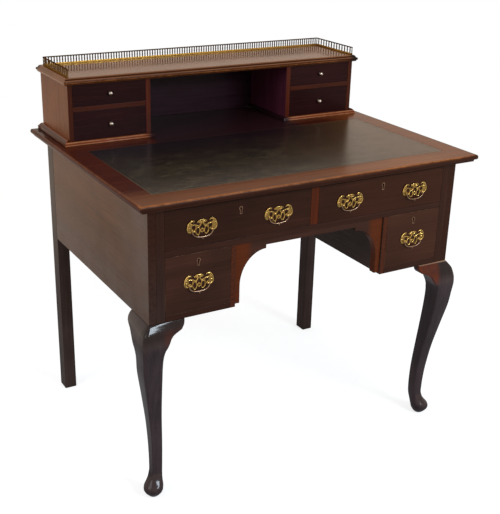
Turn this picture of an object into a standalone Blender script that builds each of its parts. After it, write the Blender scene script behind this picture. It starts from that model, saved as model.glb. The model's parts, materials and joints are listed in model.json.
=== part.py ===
"""Mahogany writing desk with cabriole front legs and a stage of small drawers.

Units are metres. X runs along the desk, Y from its front to its back and Z up.
The origin is on the floor, below the middle of the writing top.
"""

import math

import bmesh
import bpy
from mathutils import Vector

# Fits
GAP = 0.0003  # between two pieces that touch
PLAY = 0.0005  # round a drawer in its opening
OVERRUN = 0.002  # of a cut past the face that it opens, and of a joint into its piece

# Writing top
TOP_WIDTH = 0.912
TOP_DEPTH = 0.700
TOP_THICKNESS = 0.018
WRITING_HEIGHT = 0.750
TOP_EDGE_INSET = 0.0075
TOP_EDGE_SHARES = ((1.0, 0.0), (0.85, 0.3), (0.15, 0.42), (0.0, 0.55), (0.0, 0.75), (0.2, 0.93), (0.55, 1.0))

# Leather skin in its rebate
LEATHER_SIDE_BORDER = 0.057
LEATHER_FRONT_BORDER = 0.067
LEATHER_DEPTH = 0.369
LEATHER_THICKNESS = 0.0014
REBATE_DEPTH = 0.0018

# Case
SIDE_OVERHANG = 0.0336
FRONT_OVERHANG = 0.041
BACK_OVERHANG = 0.0302
CASE_HEIGHT = 0.272
SIDE_THICKNESS = 0.019
STILE_WIDTH = 0.0394
STILE_DEPTH = 0.030
BACK_THICKNESS = 0.010
BACK_INSET = 0.004
TOP_RAIL_HEIGHT = 0.0135
TOP_RAIL_DEPTH = 0.060
FRIEZE_OPENING = 0.0915
FRIEZE_BOARD_THICKNESS = 0.015
DIVISION_THICKNESS = 0.021
PEDESTAL_PANEL_THICKNESS = 0.0126
KNEEHOLE_WIDTH = 0.414
PEDESTAL_BOTTOM_THICKNESS = 0.014
GUIDE_HEIGHT = 0.015
BACK_LEG_WIDTH = 0.0324
BACK_LEG_DEPTH = 0.0396

# Kneehole apron: a straight strip between two quarter ellipses
APRON_RECESS = 0.0044
APRON_THICKNESS = 0.019
APRON_STRIP = 0.0145
BRACKET_STRIP = 0.0135
BRACKET_LIFT = 0.005
ARCH_WIDTH = 0.068
ARCH_HEIGHT = 0.0806
ARCH_STEP = 0.0089
ARCH_SEGMENTS = 10

# Cabriole legs: the height of each section, how far its outer corner stands out from the case's corner,
# and its side, as shares of the leg's height, of the knee's reach and of its width
KNEE_REACH = 0.0208
KNEE_WIDTH = 0.0990
LEG_SHARES = (
    (1.0, 0.0, 0.87),
    (0.98, 0.36, 0.95),
    (0.96, 0.65, 1.0),
    (0.93, 0.86, 0.82),
    (0.90, 0.98, 0.75),
    (0.86, 1.0, 0.625),
    (0.815, 0.90, 0.505),
    (0.73, 0.615, 0.42),
    (0.61, 0.19, 0.345),
    (0.455, -0.33, 0.305),
    (0.315, -0.735, 0.27),
    (0.22, -0.825, 0.25),
    (0.165, -0.865, 0.2525),
)
LEG_CORNER_SHARE = 0.2

# Pad feet: the height of each round section, how far its middle lies in from the case's corner, and its
# radius, as shares of the foot's height, of its inset and of its radius, and how round its corners are
FOOT_HEIGHT = 0.055
FOOT_INSET = 0.017
FOOT_RADIUS = 0.0234
FOOT_SHARES = (
    (1.0, 1.74, 0.575, 0.35),
    (0.78, 1.44, 0.705, 0.7),
    (0.58, 1.15, 0.89, 0.9),
    (0.40, 1.01, 0.99, 1.0),
    (0.255, 1.0, 1.0, 1.0),
    (0.125, 1.0, 0.855, 1.0),
    (0.035, 1.0, 0.535, 1.0),
    (0.0, 1.0, 0.405, 1.0),
)
CORNER_POINTS = 4
LEG_POST = 0.055
EAR_THICKNESS = 0.028
EAR_HEIGHT = 0.050

# Drawers of the case
DRAWER_CLEARANCE = 0.0748  # between a closed drawer and the case back
FRONT_THICKNESS = 0.019
DRAWER_SIDE = 0.009
DRAWER_BOTTOM = 0.006

# Stage on the back of the top
STAGE_WIDTH = 0.842
STAGE_DEPTH = 0.1972
STAGE_BACK_INSET = 0.0035
END_THICKNESS = 0.012
PARTITION_FACE = 0.2028
PARTITION_THICKNESS = 0.0127
PLINTH_THICKNESS = 0.0083
PLINTH_FRONT = 0.0088
PLINTH_SIDE = 0.0152
PLINTH_INNER = 0.009
PLINTH_LIP_HEIGHT = 0.0133
PLINTH_EDGE_INSET = 0.004
PLINTH_EDGE_SHARES = ((0.0, 0.0), (0.0, 0.35), (0.45, 0.45), (0.35, 0.75), (1.0, 1.0))
PLINTH_LIP_SHARES = ((0.0, 0.0), (0.0, 0.7), (0.35, 0.85), (0.6, 1.0))
LOWER_OPENING = 0.0728
DIVIDER_THICKNESS = 0.0124
UPPER_OPENING = 0.0555
STAGE_BACK_THICKNESS = 0.008
STAGE_FRONT_THICKNESS = 0.012
STAGE_SIDE = 0.006
STAGE_BOTTOM = 0.005
STAGE_DRAWER_LENGTH = 0.175
STAGE_DRAWER_RECESS = 0.001

# Shelf
SHELF_WIDTH = 0.8654
SHELF_DEPTH = 0.2088
SHELF_BACK_INSET = 0.0025
SHELF_THICKNESS = 0.0168
SHELF_EDGE_INSET = 0.010
SHELF_EDGE_SHARES = (
    (0.35, 0.0), (0.3, 0.2), (0.05, 0.3), (0.0, 0.42), (0.05, 0.58), (0.45, 0.72), (0.6, 0.88), (1.0, 1.0),
)

# Gallery
GALLERY_WIDTH = 0.8376
GALLERY_BACK_INSET = 0.024
GALLERY_FRONT_INSET = 0.0103
GALLERY_HEIGHT = 0.0216
GALLERY_THICKNESS = 0.002
GALLERY_BASE = 0.004
GALLERY_RAIL = 0.0025
GALLERY_POST = 0.005
SPINDLE_PITCH = 0.0074
SPINDLE_WIDTH = 0.0022

# Handles: places on the drawers and the parts of one handle
FRIEZE_HANDLE_SPREAD = 0.0974
HANDLE_HEIGHT_IN_FRIEZE = 0.041
HANDLE_HEIGHT_IN_PEDESTAL = 0.0665
PLATE_HALF_WIDTH = 0.037
PLATE_HALF_HEIGHT = 0.0225
PLATE_THICKNESS = 0.0014
POST_SPREAD = 0.022
POST_DROP = 0.004
POST_RADIUS = 0.0030
POST_LENGTH = 0.0075
BOLT_RADIUS = 0.002
NUT_RADIUS = 0.0045
NUT_THICKNESS = 0.003
NUT_SIDES = 6
BAIL_REACH = 0.0055
BAIL_RADIUS = 0.0016
BAIL_PIN_RADIUS = 0.0011
BAIL_PIN_LENGTH = 0.0058
BAIL_DROP = 0.016
BAIL_OUTER_HALF_WIDTH = 0.0268
PENDANT_RADIUS = 0.0019
PENDANT_LENGTH = 0.0035
ROUND_STEPS = 8

# Right half of the backplate's outline, from its foot to its crown, in shares of its half width and height
PLATE_SHARES = (
    (0.16, -0.82), (0.32, -0.78), (0.44, -0.60), (0.50, -0.28), (0.60, -0.38), (0.73, -0.45), (0.85, -0.38),
    (0.90, -0.22), (0.98, -0.12), (1.0, 0.05), (0.95, 0.20), (0.99, 0.36), (0.94, 0.62), (0.84, 0.90),
    (0.70, 1.0), (0.57, 0.90), (0.53, 0.74), (0.62, 0.76), (0.71, 0.82), (0.76, 0.68), (0.70, 0.52),
    (0.54, 0.42), (0.38, 0.46), (0.27, 0.40), (0.20, 0.56), (0.35, 0.70), (0.28, 0.86), (0.16, 0.96),
)
CROWN_OPENING_SHARES = ((0.0, 0.15), (0.12, 0.0), (0.10, 0.22), (0.0, 0.52))
FOOT_OPENING_SHARES = ((0.0, -0.62), (0.10, -0.62), (0.11, -0.40), (0.0, -0.46))
SIDE_OPENING_SHARES = (
    (0.26, -0.38), (0.33, -0.24), (0.32, -0.02), (0.26, 0.12), (0.20, -0.02), (0.19, -0.24),
)

# Locks with their brass-threaded keyholes
LOCK_DROP_IN_FRIEZE = 0.0252
LOCK_DROP_IN_PEDESTAL = 0.022
LOCK_WIDTH = 0.040
LOCK_BELOW = 0.018
LOCK_ABOVE = 0.012
LOCK_DEPTH = 0.010
THREAD_HEIGHT = 0.018
THREAD_RADIUS = 0.00475
THREAD_FOOT_HALF_WIDTH = 0.0030
KEYHOLE_WALL = 0.0015
KEYHOLE_SEGMENTS = 10

# Knobs of the small drawers
KNOB_RADIUS = 0.0055
KNOB_LENGTH = 0.012
KNOB_STEM_RADIUS = 0.002
KNOB_STEM_LENGTH = 0.008
KNOB_SHARES = (
    (0.0, 1.0), (0.55, 0.95), (0.9, 0.8), (1.0, 0.6), (0.85, 0.42), (0.5, 0.28), (0.5, 0.1), (0.75, 0.0),
)
KNOB_STEPS = 12

# Places worked out from the sizes above
TOP_UNDERSIDE = WRITING_HEIGHT - TOP_THICKNESS
CASE_HALF = TOP_WIDTH / 2 - SIDE_OVERHANG
CASE_FRONT = FRONT_OVERHANG - TOP_DEPTH / 2
CASE_REAR = TOP_DEPTH / 2 - BACK_OVERHANG
CASE_TOP = TOP_UNDERSIDE - GAP
CASE_BOTTOM = TOP_UNDERSIDE - CASE_HEIGHT
INNER_HALF = CASE_HALF - STILE_WIDTH
FRIEZE_TOP = TOP_UNDERSIDE - TOP_RAIL_HEIGHT
FRIEZE_BOTTOM = FRIEZE_TOP - FRIEZE_OPENING
KNEEHOLE_TOP = FRIEZE_BOTTOM - FRIEZE_BOARD_THICKNESS
KNEEHOLE_HALF = KNEEHOLE_WIDTH / 2
PEDESTAL_INNER = KNEEHOLE_HALF + PEDESTAL_PANEL_THICKNESS
PEDESTAL_FLOOR = CASE_BOTTOM + PEDESTAL_BOTTOM_THICKNESS
BACK_FACE = CASE_REAR - BACK_INSET - BACK_THICKNESS
DRAWER_LENGTH = BACK_FACE - CASE_FRONT - DRAWER_CLEARANCE
BACK_LEG_FRONT = CASE_REAR - BACK_LEG_DEPTH
STAGE_HALF = STAGE_WIDTH / 2
STAGE_REAR = TOP_DEPTH / 2 - STAGE_BACK_INSET
STAGE_FRONT = STAGE_REAR - STAGE_DEPTH
STAGE_FLOOR = WRITING_HEIGHT + GAP + PLINTH_THICKNESS
STAGE_BACK_FACE = STAGE_REAR - STAGE_BACK_THICKNESS
DIVIDER_BOTTOM = STAGE_FLOOR + LOWER_OPENING
DIVIDER_TOP = DIVIDER_BOTTOM + DIVIDER_THICKNESS
SHELF_BOTTOM = DIVIDER_TOP + UPPER_OPENING
SHELF_TOP = SHELF_BOTTOM + SHELF_THICKNESS
SHELF_FRONT = TOP_DEPTH / 2 - SHELF_BACK_INSET - SHELF_DEPTH
GALLERY_BACK = TOP_DEPTH / 2 - GALLERY_BACK_INSET
GALLERY_FRONT = SHELF_FRONT + GALLERY_FRONT_INSET
PARTITION_OUTER = PARTITION_FACE + PARTITION_THICKNESS
SIDES = (("left", -1), ("right", 1))


def clear_scene():
    for obj in list(bpy.data.objects):
        bpy.data.objects.remove(obj, do_unlink=True)


def new_collection(name):
    collection = bpy.data.collections.new(name)
    bpy.context.scene.collection.children.link(collection)
    return collection


def new_material(name, color, roughness, metallic=0.0):
    material = bpy.data.materials.new(name)
    material.use_nodes = True
    shader = material.node_tree.nodes["Principled BSDF"]
    shader.inputs["Base Color"].default_value = (*color, 1.0)
    shader.inputs["Roughness"].default_value = roughness
    shader.inputs["Metallic"].default_value = metallic
    return material


def place(name, data, location, material, parent=None):
    """One sub-part: its data linked under its own name, at its location."""
    obj = bpy.data.objects.new(name, data)
    obj.location = location
    obj.parent = parent
    if material.name not in data.materials:
        data.materials.append(material)
    PARTS.objects.link(obj)
    return obj


def mesh_of(bm, name):
    bmesh.ops.recalc_face_normals(bm, faces=bm.faces)
    mesh = bpy.data.meshes.new(name)
    bm.to_mesh(mesh)
    bm.free()
    return mesh


def box_mesh(name, size):
    """A box of the given size, centred on its origin."""
    bm = bmesh.new()
    bmesh.ops.create_cube(bm, size=1)
    bmesh.ops.scale(bm, vec=size, verts=bm.verts)
    return mesh_of(bm, name)


def board(name, low, high, material):
    """A board between two corners."""
    low, high = Vector(low), Vector(high)
    return place(name, box_mesh(name, high - low), (low + high) / 2, material)


def side_span(sign, inner, outer):
    """The low and high X of a piece between two distances from the middle, on one side."""
    return sorted((sign * inner, sign * outer))


def side_board(name, sign, x_span, y_span, z_span, material):
    x_low, x_high = side_span(sign, *x_span)
    return board(name, (x_low, y_span[0], z_span[0]), (x_high, y_span[1], z_span[1]), material)


def helper(name, mesh, location, parent=None):
    """A cutter, or a shape to be joined in: it is no sub-part."""
    obj = bpy.data.objects.new(name, mesh)
    obj.location = location
    obj.parent = parent
    obj.hide_render = True
    obj.display_type = "WIRE"
    CUTTERS.objects.link(obj)
    return obj


def helper_box(name, low, high, parent=None):
    low, high = Vector(low), Vector(high)
    return helper(name, box_mesh(name, high - low), (low + high) / 2, parent)


def combine(obj, other, operation):
    modifier = obj.modifiers.new(other.name, "BOOLEAN")
    modifier.operation = operation
    modifier.object = other


def cut(obj, cutter):
    combine(obj, cutter, "DIFFERENCE")


def join(obj, other):
    combine(obj, other, "UNION")


def baked_mesh(obj, name):
    """The evaluated mesh of an object, with a curve's loose caps welded. The object is removed."""
    graph = bpy.context.evaluated_depsgraph_get()
    mesh = bpy.data.meshes.new_from_object(obj.evaluated_get(graph))
    mesh.name = name
    bm = bmesh.new()
    bm.from_mesh(mesh)
    bmesh.ops.remove_doubles(bm, verts=bm.verts, dist=GAP / 10)
    bmesh.ops.transform(bm, matrix=obj.matrix_basis, verts=bm.verts)
    bm.to_mesh(mesh)
    bm.free()
    bpy.data.objects.remove(obj, do_unlink=True)
    return mesh


def smooth(mesh, angle=math.radians(40)):
    mesh.shade_smooth()
    mesh.set_sharp_from_angle(angle=angle)


def cylinder_mesh(name, radius, length, steps, axis):
    """A cylinder centred on its origin, along X or Y."""
    bm = bmesh.new()
    bmesh.ops.create_cone(
        bm, cap_ends=True, segments=steps, radius1=radius, radius2=radius, depth=length
    )
    turn = Vector((0, 0, 1)).rotation_difference(Vector(axis)).to_matrix()
    bmesh.ops.rotate(bm, matrix=turn, verts=bm.verts)
    return mesh_of(bm, name)


def moulded_mesh(name, size, inset, shares):
    """A board built up from its underside, whose four edges step in and out by shares of the inset."""
    bm = bmesh.new()
    bmesh.ops.create_cube(bm, size=1)
    faces = sorted(bm.faces, key=lambda face: face.calc_center_median().z)
    set_layer(faces[0], size, inset, *shares[0])
    top = faces[-1]
    set_layer(top, size, inset, *shares[1])
    for inset_share, height_share in shares[2:]:
        top = bmesh.ops.extrude_discrete_faces(bm, faces=[top])["faces"][0]
        set_layer(top, size, inset, inset_share, height_share)
    return mesh_of(bm, name)


def set_layer(face, size, inset, inset_share, height_share):
    """Puts a face's four corners at their inset and height."""
    for vert in face.verts:
        vert.co.x = math.copysign(size[0] / 2 - inset * inset_share, vert.co.x)
        vert.co.y = math.copysign(size[1] / 2 - inset * inset_share, vert.co.y)
        vert.co.z = size[2] * height_share


def outline_curve(name, outlines, thickness):
    """A flat 2D curve of closed outlines, the first one round the others, with the given thickness."""
    curve = bpy.data.curves.new(name, "CURVE")
    curve.dimensions = "2D"
    curve.fill_mode = "BOTH"
    curve.extrude = thickness / 2
    for outline in outlines:
        spline = curve.splines.new("POLY")
        spline.points.add(len(outline) - 1)
        for point, (x, y) in zip(spline.points, outline):
            point.co = (x, y, 0, 1)
        spline.use_cyclic_u = True
    return curve


UPRIGHT = (math.pi / 2, 0, 0)
UPRIGHT_SIDEWAYS = (math.pi / 2, 0, math.pi / 2)


def upright_mesh(name, outlines, thickness):
    """A flat outline stood up in the XZ plane, as a mesh."""
    obj = bpy.data.objects.new(name, outline_curve(name, outlines, thickness))
    obj.rotation_euler = UPRIGHT
    CUTTERS.objects.link(obj)
    bpy.context.view_layer.update()
    return baked_mesh(obj, name)


def mirrored(points):
    """A half outline and its mirror image, as one closed outline without doubled points on the axis."""
    other_half = [(-x, y) for x, y in reversed(points) if x]
    return list(points) + other_half


def scaled(shares, width, height):
    return [(x * width, y * height) for x, y in shares]


def make_writing_top():
    size = (TOP_WIDTH, TOP_DEPTH, TOP_THICKNESS)
    mesh = moulded_mesh("writing_top", size, TOP_EDGE_INSET, TOP_EDGE_SHARES)
    top = place("writing_top", mesh, (0, 0, TOP_UNDERSIDE), MAHOGANY)
    half = TOP_WIDTH / 2 - LEATHER_SIDE_BORDER
    front = LEATHER_FRONT_BORDER - TOP_DEPTH / 2
    rear = front + LEATHER_DEPTH
    floor = WRITING_HEIGHT - REBATE_DEPTH
    cut(top, helper_box("rebate", (-half, front, floor), (half, rear, WRITING_HEIGHT + OVERRUN)))
    board(
        "leather_inset",
        (GAP - half, front + GAP, floor + GAP),
        (half - GAP, rear - GAP, floor + GAP + LEATHER_THICKNESS),
        LEATHER,
    )


def make_case():
    stile_rear = CASE_FRONT + STILE_DEPTH
    side_inner = CASE_HALF - SIDE_THICKNESS
    for side, sign in SIDES:
        panel = side_board(
            f"side_panel_{side}", sign, (side_inner, CASE_HALF), (CASE_FRONT, BACK_LEG_FRONT - GAP),
            (CASE_BOTTOM, CASE_TOP), MAHOGANY_SIDE,
        )
        for level, floor in (("lower", CASE_BOTTOM), ("upper", KNEEHOLE_TOP)):
            thickness = PEDESTAL_BOTTOM_THICKNESS if level == "lower" else FRIEZE_BOARD_THICKNESS
            low_x, high_x = side_span(sign, INNER_HALF, side_inner + OVERRUN)
            guide = helper_box(
                f"guide_{level}_{side}",
                (low_x, stile_rear + GAP, floor),
                (high_x, BACK_LEG_FRONT - GAP, floor + thickness + GUIDE_HEIGHT),
            )
            join(panel, guide)
        side_board(
            f"front_stile_{side}", sign, (INNER_HALF, side_inner - GAP), (CASE_FRONT, stile_rear),
            (CASE_BOTTOM, CASE_TOP), MAHOGANY_RED,
        )
        side_board(
            f"pedestal_panel_{side}", sign, (KNEEHOLE_HALF, PEDESTAL_INNER), (CASE_FRONT, BACK_FACE - GAP),
            (CASE_BOTTOM, KNEEHOLE_TOP - GAP), MAHOGANY_RED,
        )
        side_board(
            f"pedestal_bottom_{side}", sign, (PEDESTAL_INNER + GAP, INNER_HALF - GAP),
            (CASE_FRONT, BACK_FACE - GAP), (CASE_BOTTOM, PEDESTAL_FLOOR), MAHOGANY_RED,
        )
        side_board(
            f"back_leg_{side}", sign, (CASE_HALF - BACK_LEG_WIDTH, CASE_HALF), (BACK_LEG_FRONT, CASE_REAR),
            (0, CASE_TOP), MAHOGANY,
        )
    inner = INNER_HALF - GAP
    board(
        "top_rail", (-inner, CASE_FRONT, FRIEZE_TOP),
        (inner, CASE_FRONT + TOP_RAIL_DEPTH, CASE_TOP), MAHOGANY_RED,
    )
    half = DIVISION_THICKNESS / 2
    board(
        "centre_division", (-half, CASE_FRONT, FRIEZE_BOTTOM + GAP),
        (half, BACK_FACE - GAP, FRIEZE_TOP - GAP), MAHOGANY_RED,
    )
    board(
        "frieze_board", (-inner, CASE_FRONT, KNEEHOLE_TOP),
        (inner, BACK_FACE - GAP, FRIEZE_BOTTOM), MAHOGANY_RED,
    )
    back_half = CASE_HALF - BACK_LEG_WIDTH - GAP
    back = board(
        "case_back", (-back_half, BACK_FACE, CASE_BOTTOM), (back_half, BACK_FACE + BACK_THICKNESS, CASE_TOP),
        MAHOGANY_DARK,
    )
    kneehole = helper_box(
        "back_kneehole",
        (-KNEEHOLE_HALF, BACK_FACE - OVERRUN, CASE_BOTTOM - OVERRUN),
        (KNEEHOLE_HALF, BACK_FACE + BACK_THICKNESS + OVERRUN, KNEEHOLE_TOP),
    )
    cut(back, kneehole)


def apron_half_outline():
    """Right half of the apron, from the middle of its lower edge round to the middle of its top."""
    strip = KNEEHOLE_TOP - GAP - APRON_STRIP
    outer = KNEEHOLE_HALF - GAP
    inner = outer - BRACKET_STRIP
    foot = CASE_BOTTOM + BRACKET_LIFT
    spring = strip - ARCH_STEP - ARCH_HEIGHT
    points = [(0, strip), (inner - ARCH_WIDTH, strip)]
    for step in range(ARCH_SEGMENTS + 1):
        angle = math.pi / 2 * (1 - step / ARCH_SEGMENTS)
        x = inner - ARCH_WIDTH + ARCH_WIDTH * math.cos(angle)
        points.append((x, spring + ARCH_HEIGHT * math.sin(angle)))
    return points + [(inner, foot), (outer, foot), (outer, KNEEHOLE_TOP - GAP), (0, KNEEHOLE_TOP - GAP)]


def make_apron():
    mesh = upright_mesh("kneehole_apron", [mirrored(apron_half_outline())], APRON_THICKNESS)
    place("kneehole_apron", mesh, (0, CASE_FRONT + APRON_RECESS + APRON_THICKNESS / 2, 0), MAHOGANY_RED)


def ring_points(middle_x, middle_y, height, radius, corner_share, flip):
    """A square section with rounded corners, or a circle where the corner share is 1."""
    corner = radius * corner_share
    points = []
    for quarter in range(4):
        start = quarter * math.pi / 2
        centre = Vector((math.cos(start + math.pi / 4), math.sin(start + math.pi / 4)))
        centre *= (radius - corner) * math.sqrt(2)
        for step in range(CORNER_POINTS):
            angle = start + math.pi / 2 * (step + 0.5) / CORNER_POINTS
            x = middle_x + flip * (centre.x + corner * math.cos(angle))
            points.append((x, middle_y + centre.y + corner * math.sin(angle), height))
    return points


def leg_rings(sign):
    corner_x = sign * CASE_HALF
    leg_height = CASE_BOTTOM - GAP
    sections = []
    for height_share, reach_share, side_share in LEG_SHARES:
        radius = side_share * KNEE_WIDTH / 2
        inset = radius - reach_share * KNEE_REACH
        sections.append((height_share * leg_height, inset, radius, LEG_CORNER_SHARE))
    for height_share, inset_share, radius_share, corner_share in FOOT_SHARES:
        height = height_share * FOOT_HEIGHT
        sections.append((height, inset_share * FOOT_INSET, radius_share * FOOT_RADIUS, corner_share))
    rings = []
    for height, inset, radius, corner_share in sections:
        middle = (corner_x - sign * inset, CASE_FRONT + inset)
        rings.append(ring_points(*middle, height, radius, corner_share, sign))
    return rings


def loft_mesh(name, rings):
    """A closed skin over a row of sections with as many points each."""
    bm = bmesh.new()
    loops = [[bm.verts.new(point) for point in ring] for ring in rings]
    bm.faces.new(loops[0])
    bm.faces.new(loops[-1])
    for upper, lower in zip(loops, loops[1:]):
        for index in range(len(upper)):
            following = (index + 1) % len(upper)
            bm.faces.new((upper[index], upper[following], lower[following], lower[index]))
    return mesh_of(bm, name)


def make_cabriole_legs():
    """Each leg's ears are what two cuts behind its front and side faces leave round its post."""
    for side, sign in SIDES:
        name = f"cabriole_leg_{side}"
        leg = place(name, loft_mesh(name, leg_rings(sign)), (0, 0, 0), MAHOGANY)
        floor = CASE_BOTTOM - EAR_HEIGHT
        cuts = (("front", LEG_POST, EAR_THICKNESS), ("side", EAR_THICKNESS, LEG_POST))
        for ear, from_side, from_front in cuts:
            low_x, high_x = side_span(sign, INNER_HALF - LEG_POST - LEG_POST, CASE_HALF - from_side)
            cutter = helper_box(
                f"{ear}_ear_hollow_{side}",
                (low_x, CASE_FRONT + from_front, floor),
                (high_x, CASE_FRONT + LEG_POST + LEG_POST, CASE_BOTTOM + OVERRUN),
            )
            cut(leg, cutter)


def open_box_mesh(name, width, length, height, front, side, bottom):
    """A drawer: a box whose top face is inset by its walls and pressed down to its bottom board."""
    bm = bmesh.new()
    bmesh.ops.create_cube(bm, size=1)
    bmesh.ops.scale(bm, vec=(width, length, height), verts=bm.verts)
    bmesh.ops.translate(bm, vec=(0, length / 2, height / 2), verts=bm.verts)
    top = max(bm.faces, key=lambda face: face.calc_center_median().z)
    bmesh.ops.inset_individual(bm, faces=[top], thickness=side)
    for vert in top.verts:
        if vert.co.y < length / 2:
            vert.co.y = front
    pressed = bmesh.ops.extrude_discrete_faces(bm, faces=[top])["faces"][0]
    bmesh.ops.translate(bm, vec=(0, 0, bottom - height), verts=pressed.verts)
    return mesh_of(bm, name)


def bail_curve():
    """One bail in its own plane: pins at both ends, arms that flare and a long low bow."""
    shares = ((1.0, 0.10), (0.975, 0.28), (0.84, 0.52), (0.62, 0.80), (0.33, 0.97), (0.0, 1.0))
    pin_inner = POST_SPREAD - BAIL_PIN_LENGTH / 3
    pin_outer = pin_inner + BAIL_PIN_LENGTH
    half = [(pin_inner, 0, BAIL_PIN_RADIUS), (pin_outer, 0, BAIL_PIN_RADIUS)]
    for x_share, drop_share in shares:
        half.append((x_share * BAIL_OUTER_HALF_WIDTH, -drop_share * BAIL_DROP, BAIL_RADIUS))
    points = half + [(-x, z, radius) for x, z, radius in reversed(half[:-1])]
    curve = bpy.data.curves.new("bail", "CURVE")
    curve.dimensions = "3D"
    curve.bevel_depth = BAIL_RADIUS
    curve.bevel_resolution = 1
    curve.use_fill_caps = True
    spline = curve.splines.new("POLY")
    spline.points.add(len(points) - 1)
    for point, (x, z, radius) in zip(spline.points, points):
        point.co = (x, 0, z, 1)
        point.radius = radius / BAIL_RADIUS
    return curve


def bail_mesh():
    wire = helper("bail_wire", bail_curve(), (0, 0, 0))
    bpy.context.view_layer.update()
    bail = helper("bail_shape", baked_mesh(wire, "bail_wire"), (0, 0, 0))
    bm = bmesh.new()
    bmesh.ops.create_uvsphere(bm, u_segments=ROUND_STEPS, v_segments=ROUND_STEPS // 2, radius=1)
    bmesh.ops.scale(bm, vec=(PENDANT_RADIUS, PENDANT_RADIUS, PENDANT_LENGTH), verts=bm.verts)
    pendant = helper("pendant", mesh_of(bm, "pendant"), (0, 0, -BAIL_DROP - BAIL_RADIUS))
    join(bail, pendant)
    bpy.context.view_layer.update()
    mesh = baked_mesh(bail, "bail")
    bpy.data.objects.remove(pendant, do_unlink=True)
    smooth(mesh)
    return mesh


def plate_mesh():
    """Pierced backplate with its two posts, whose bolts pass through the drawer front to their nuts.

    Its origin is the handle's middle, on the drawer's front face.
    """
    outlines = [mirrored(scaled(PLATE_SHARES, PLATE_HALF_WIDTH, PLATE_HALF_HEIGHT))]
    for shares in (CROWN_OPENING_SHARES, FOOT_OPENING_SHARES):
        outlines.append(mirrored(scaled(shares, PLATE_HALF_WIDTH, PLATE_HALF_HEIGHT)))
    side_opening = scaled(SIDE_OPENING_SHARES, PLATE_HALF_WIDTH, PLATE_HALF_HEIGHT)
    outlines.append(side_opening)
    outlines.append([(-x, y) for x, y in reversed(side_opening)])
    flat = upright_mesh("plate_flat", outlines, PLATE_THICKNESS)
    plate = helper("plate_shape", flat, (0, -GAP - PLATE_THICKNESS / 2, 0))
    bolt_length = FRONT_THICKNESS + GAP + NUT_THICKNESS / 2 + PLATE_THICKNESS
    pieces = (
        ("post", POST_RADIUS, POST_LENGTH, -GAP - POST_LENGTH / 2, ROUND_STEPS),
        ("bolt", BOLT_RADIUS, bolt_length, bolt_length / 2 - PLATE_THICKNESS, ROUND_STEPS),
        ("nut", NUT_RADIUS, NUT_THICKNESS, FRONT_THICKNESS + GAP + NUT_THICKNESS / 2, NUT_SIDES),
    )
    helpers = []
    for side, sign in SIDES:
        for piece, radius, length, y, steps in pieces:
            mesh = cylinder_mesh(piece, radius, length, steps, (0, 1, 0))
            helpers.append(helper(f"{piece}_{side}", mesh, (sign * POST_SPREAD, y, -POST_DROP)))
            join(plate, helpers[-1])
    hole = cylinder_mesh(
        "pin_hole", BAIL_PIN_RADIUS + GAP + GAP, POST_SPREAD * 2 + POST_RADIUS * 4, ROUND_STEPS, (1, 0, 0)
    )
    helpers.append(helper("pin_hole", hole, (0, -BAIL_REACH, -POST_DROP)))
    cut(plate, helpers[-1])
    bpy.context.view_layer.update()
    mesh = baked_mesh(plate, "backplate")
    for obj in helpers:
        bpy.data.objects.remove(obj, do_unlink=True)
    return mesh


def keyhole_outline(grow):
    """A round head over a skirt that widens to its foot, about the keyhole's middle."""
    radius = THREAD_RADIUS + grow
    head = THREAD_HEIGHT / 2 - THREAD_RADIUS
    foot = THREAD_FOOT_HALF_WIDTH + grow
    points = [(-foot, -THREAD_HEIGHT / 2 - grow), (foot, -THREAD_HEIGHT / 2 - grow)]
    for step in range(KEYHOLE_SEGMENTS + 1):
        angle = -math.pi / 3 + step * (math.pi + 2 * math.pi / 3) / KEYHOLE_SEGMENTS
        points.append((radius * math.cos(angle), head + radius * math.sin(angle)))
    return points


def lock_mesh():
    """A drawer lock behind its brass thread. Its origin is the keyhole's middle, on the front face."""
    case_front = FRONT_THICKNESS - LOCK_DEPTH
    outlines = [keyhole_outline(0), keyhole_outline(-KEYHOLE_WALL)]
    length = case_front + OVERRUN
    thread = helper("thread", upright_mesh("thread", outlines, length), (0, length / 2, 0))
    case = helper_box(
        "lock_shape",
        (-LOCK_WIDTH / 2, case_front, -LOCK_BELOW),
        (LOCK_WIDTH / 2, FRONT_THICKNESS, LOCK_ABOVE),
    )
    join(case, thread)
    bpy.context.view_layer.update()
    mesh = baked_mesh(case, "lock")
    bpy.data.objects.remove(thread, do_unlink=True)
    return mesh


def knob_mesh():
    """A turned knob that looks towards the front, with the stem that holds it in the drawer front."""
    bm = bmesh.new()
    profile = [(radius * KNOB_RADIUS, -GAP - length * KNOB_LENGTH) for radius, length in KNOB_SHARES]
    profile += [(KNOB_STEM_RADIUS, -GAP), (KNOB_STEM_RADIUS, KNOB_STEM_LENGTH), (0, KNOB_STEM_LENGTH)]
    verts = [bm.verts.new((radius, y, 0)) for radius, y in profile]
    edges = [bm.edges.new(pair) for pair in zip(verts, verts[1:])]
    bmesh.ops.spin(
        bm, geom=verts + edges, cent=(0, 0, 0), axis=(0, 1, 0), angle=math.tau, steps=KNOB_STEPS,
        use_merge=True,
    )
    bmesh.ops.remove_doubles(bm, verts=bm.verts, dist=GAP / 10)
    mesh = mesh_of(bm, "knob")
    smooth(mesh)
    return mesh


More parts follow.
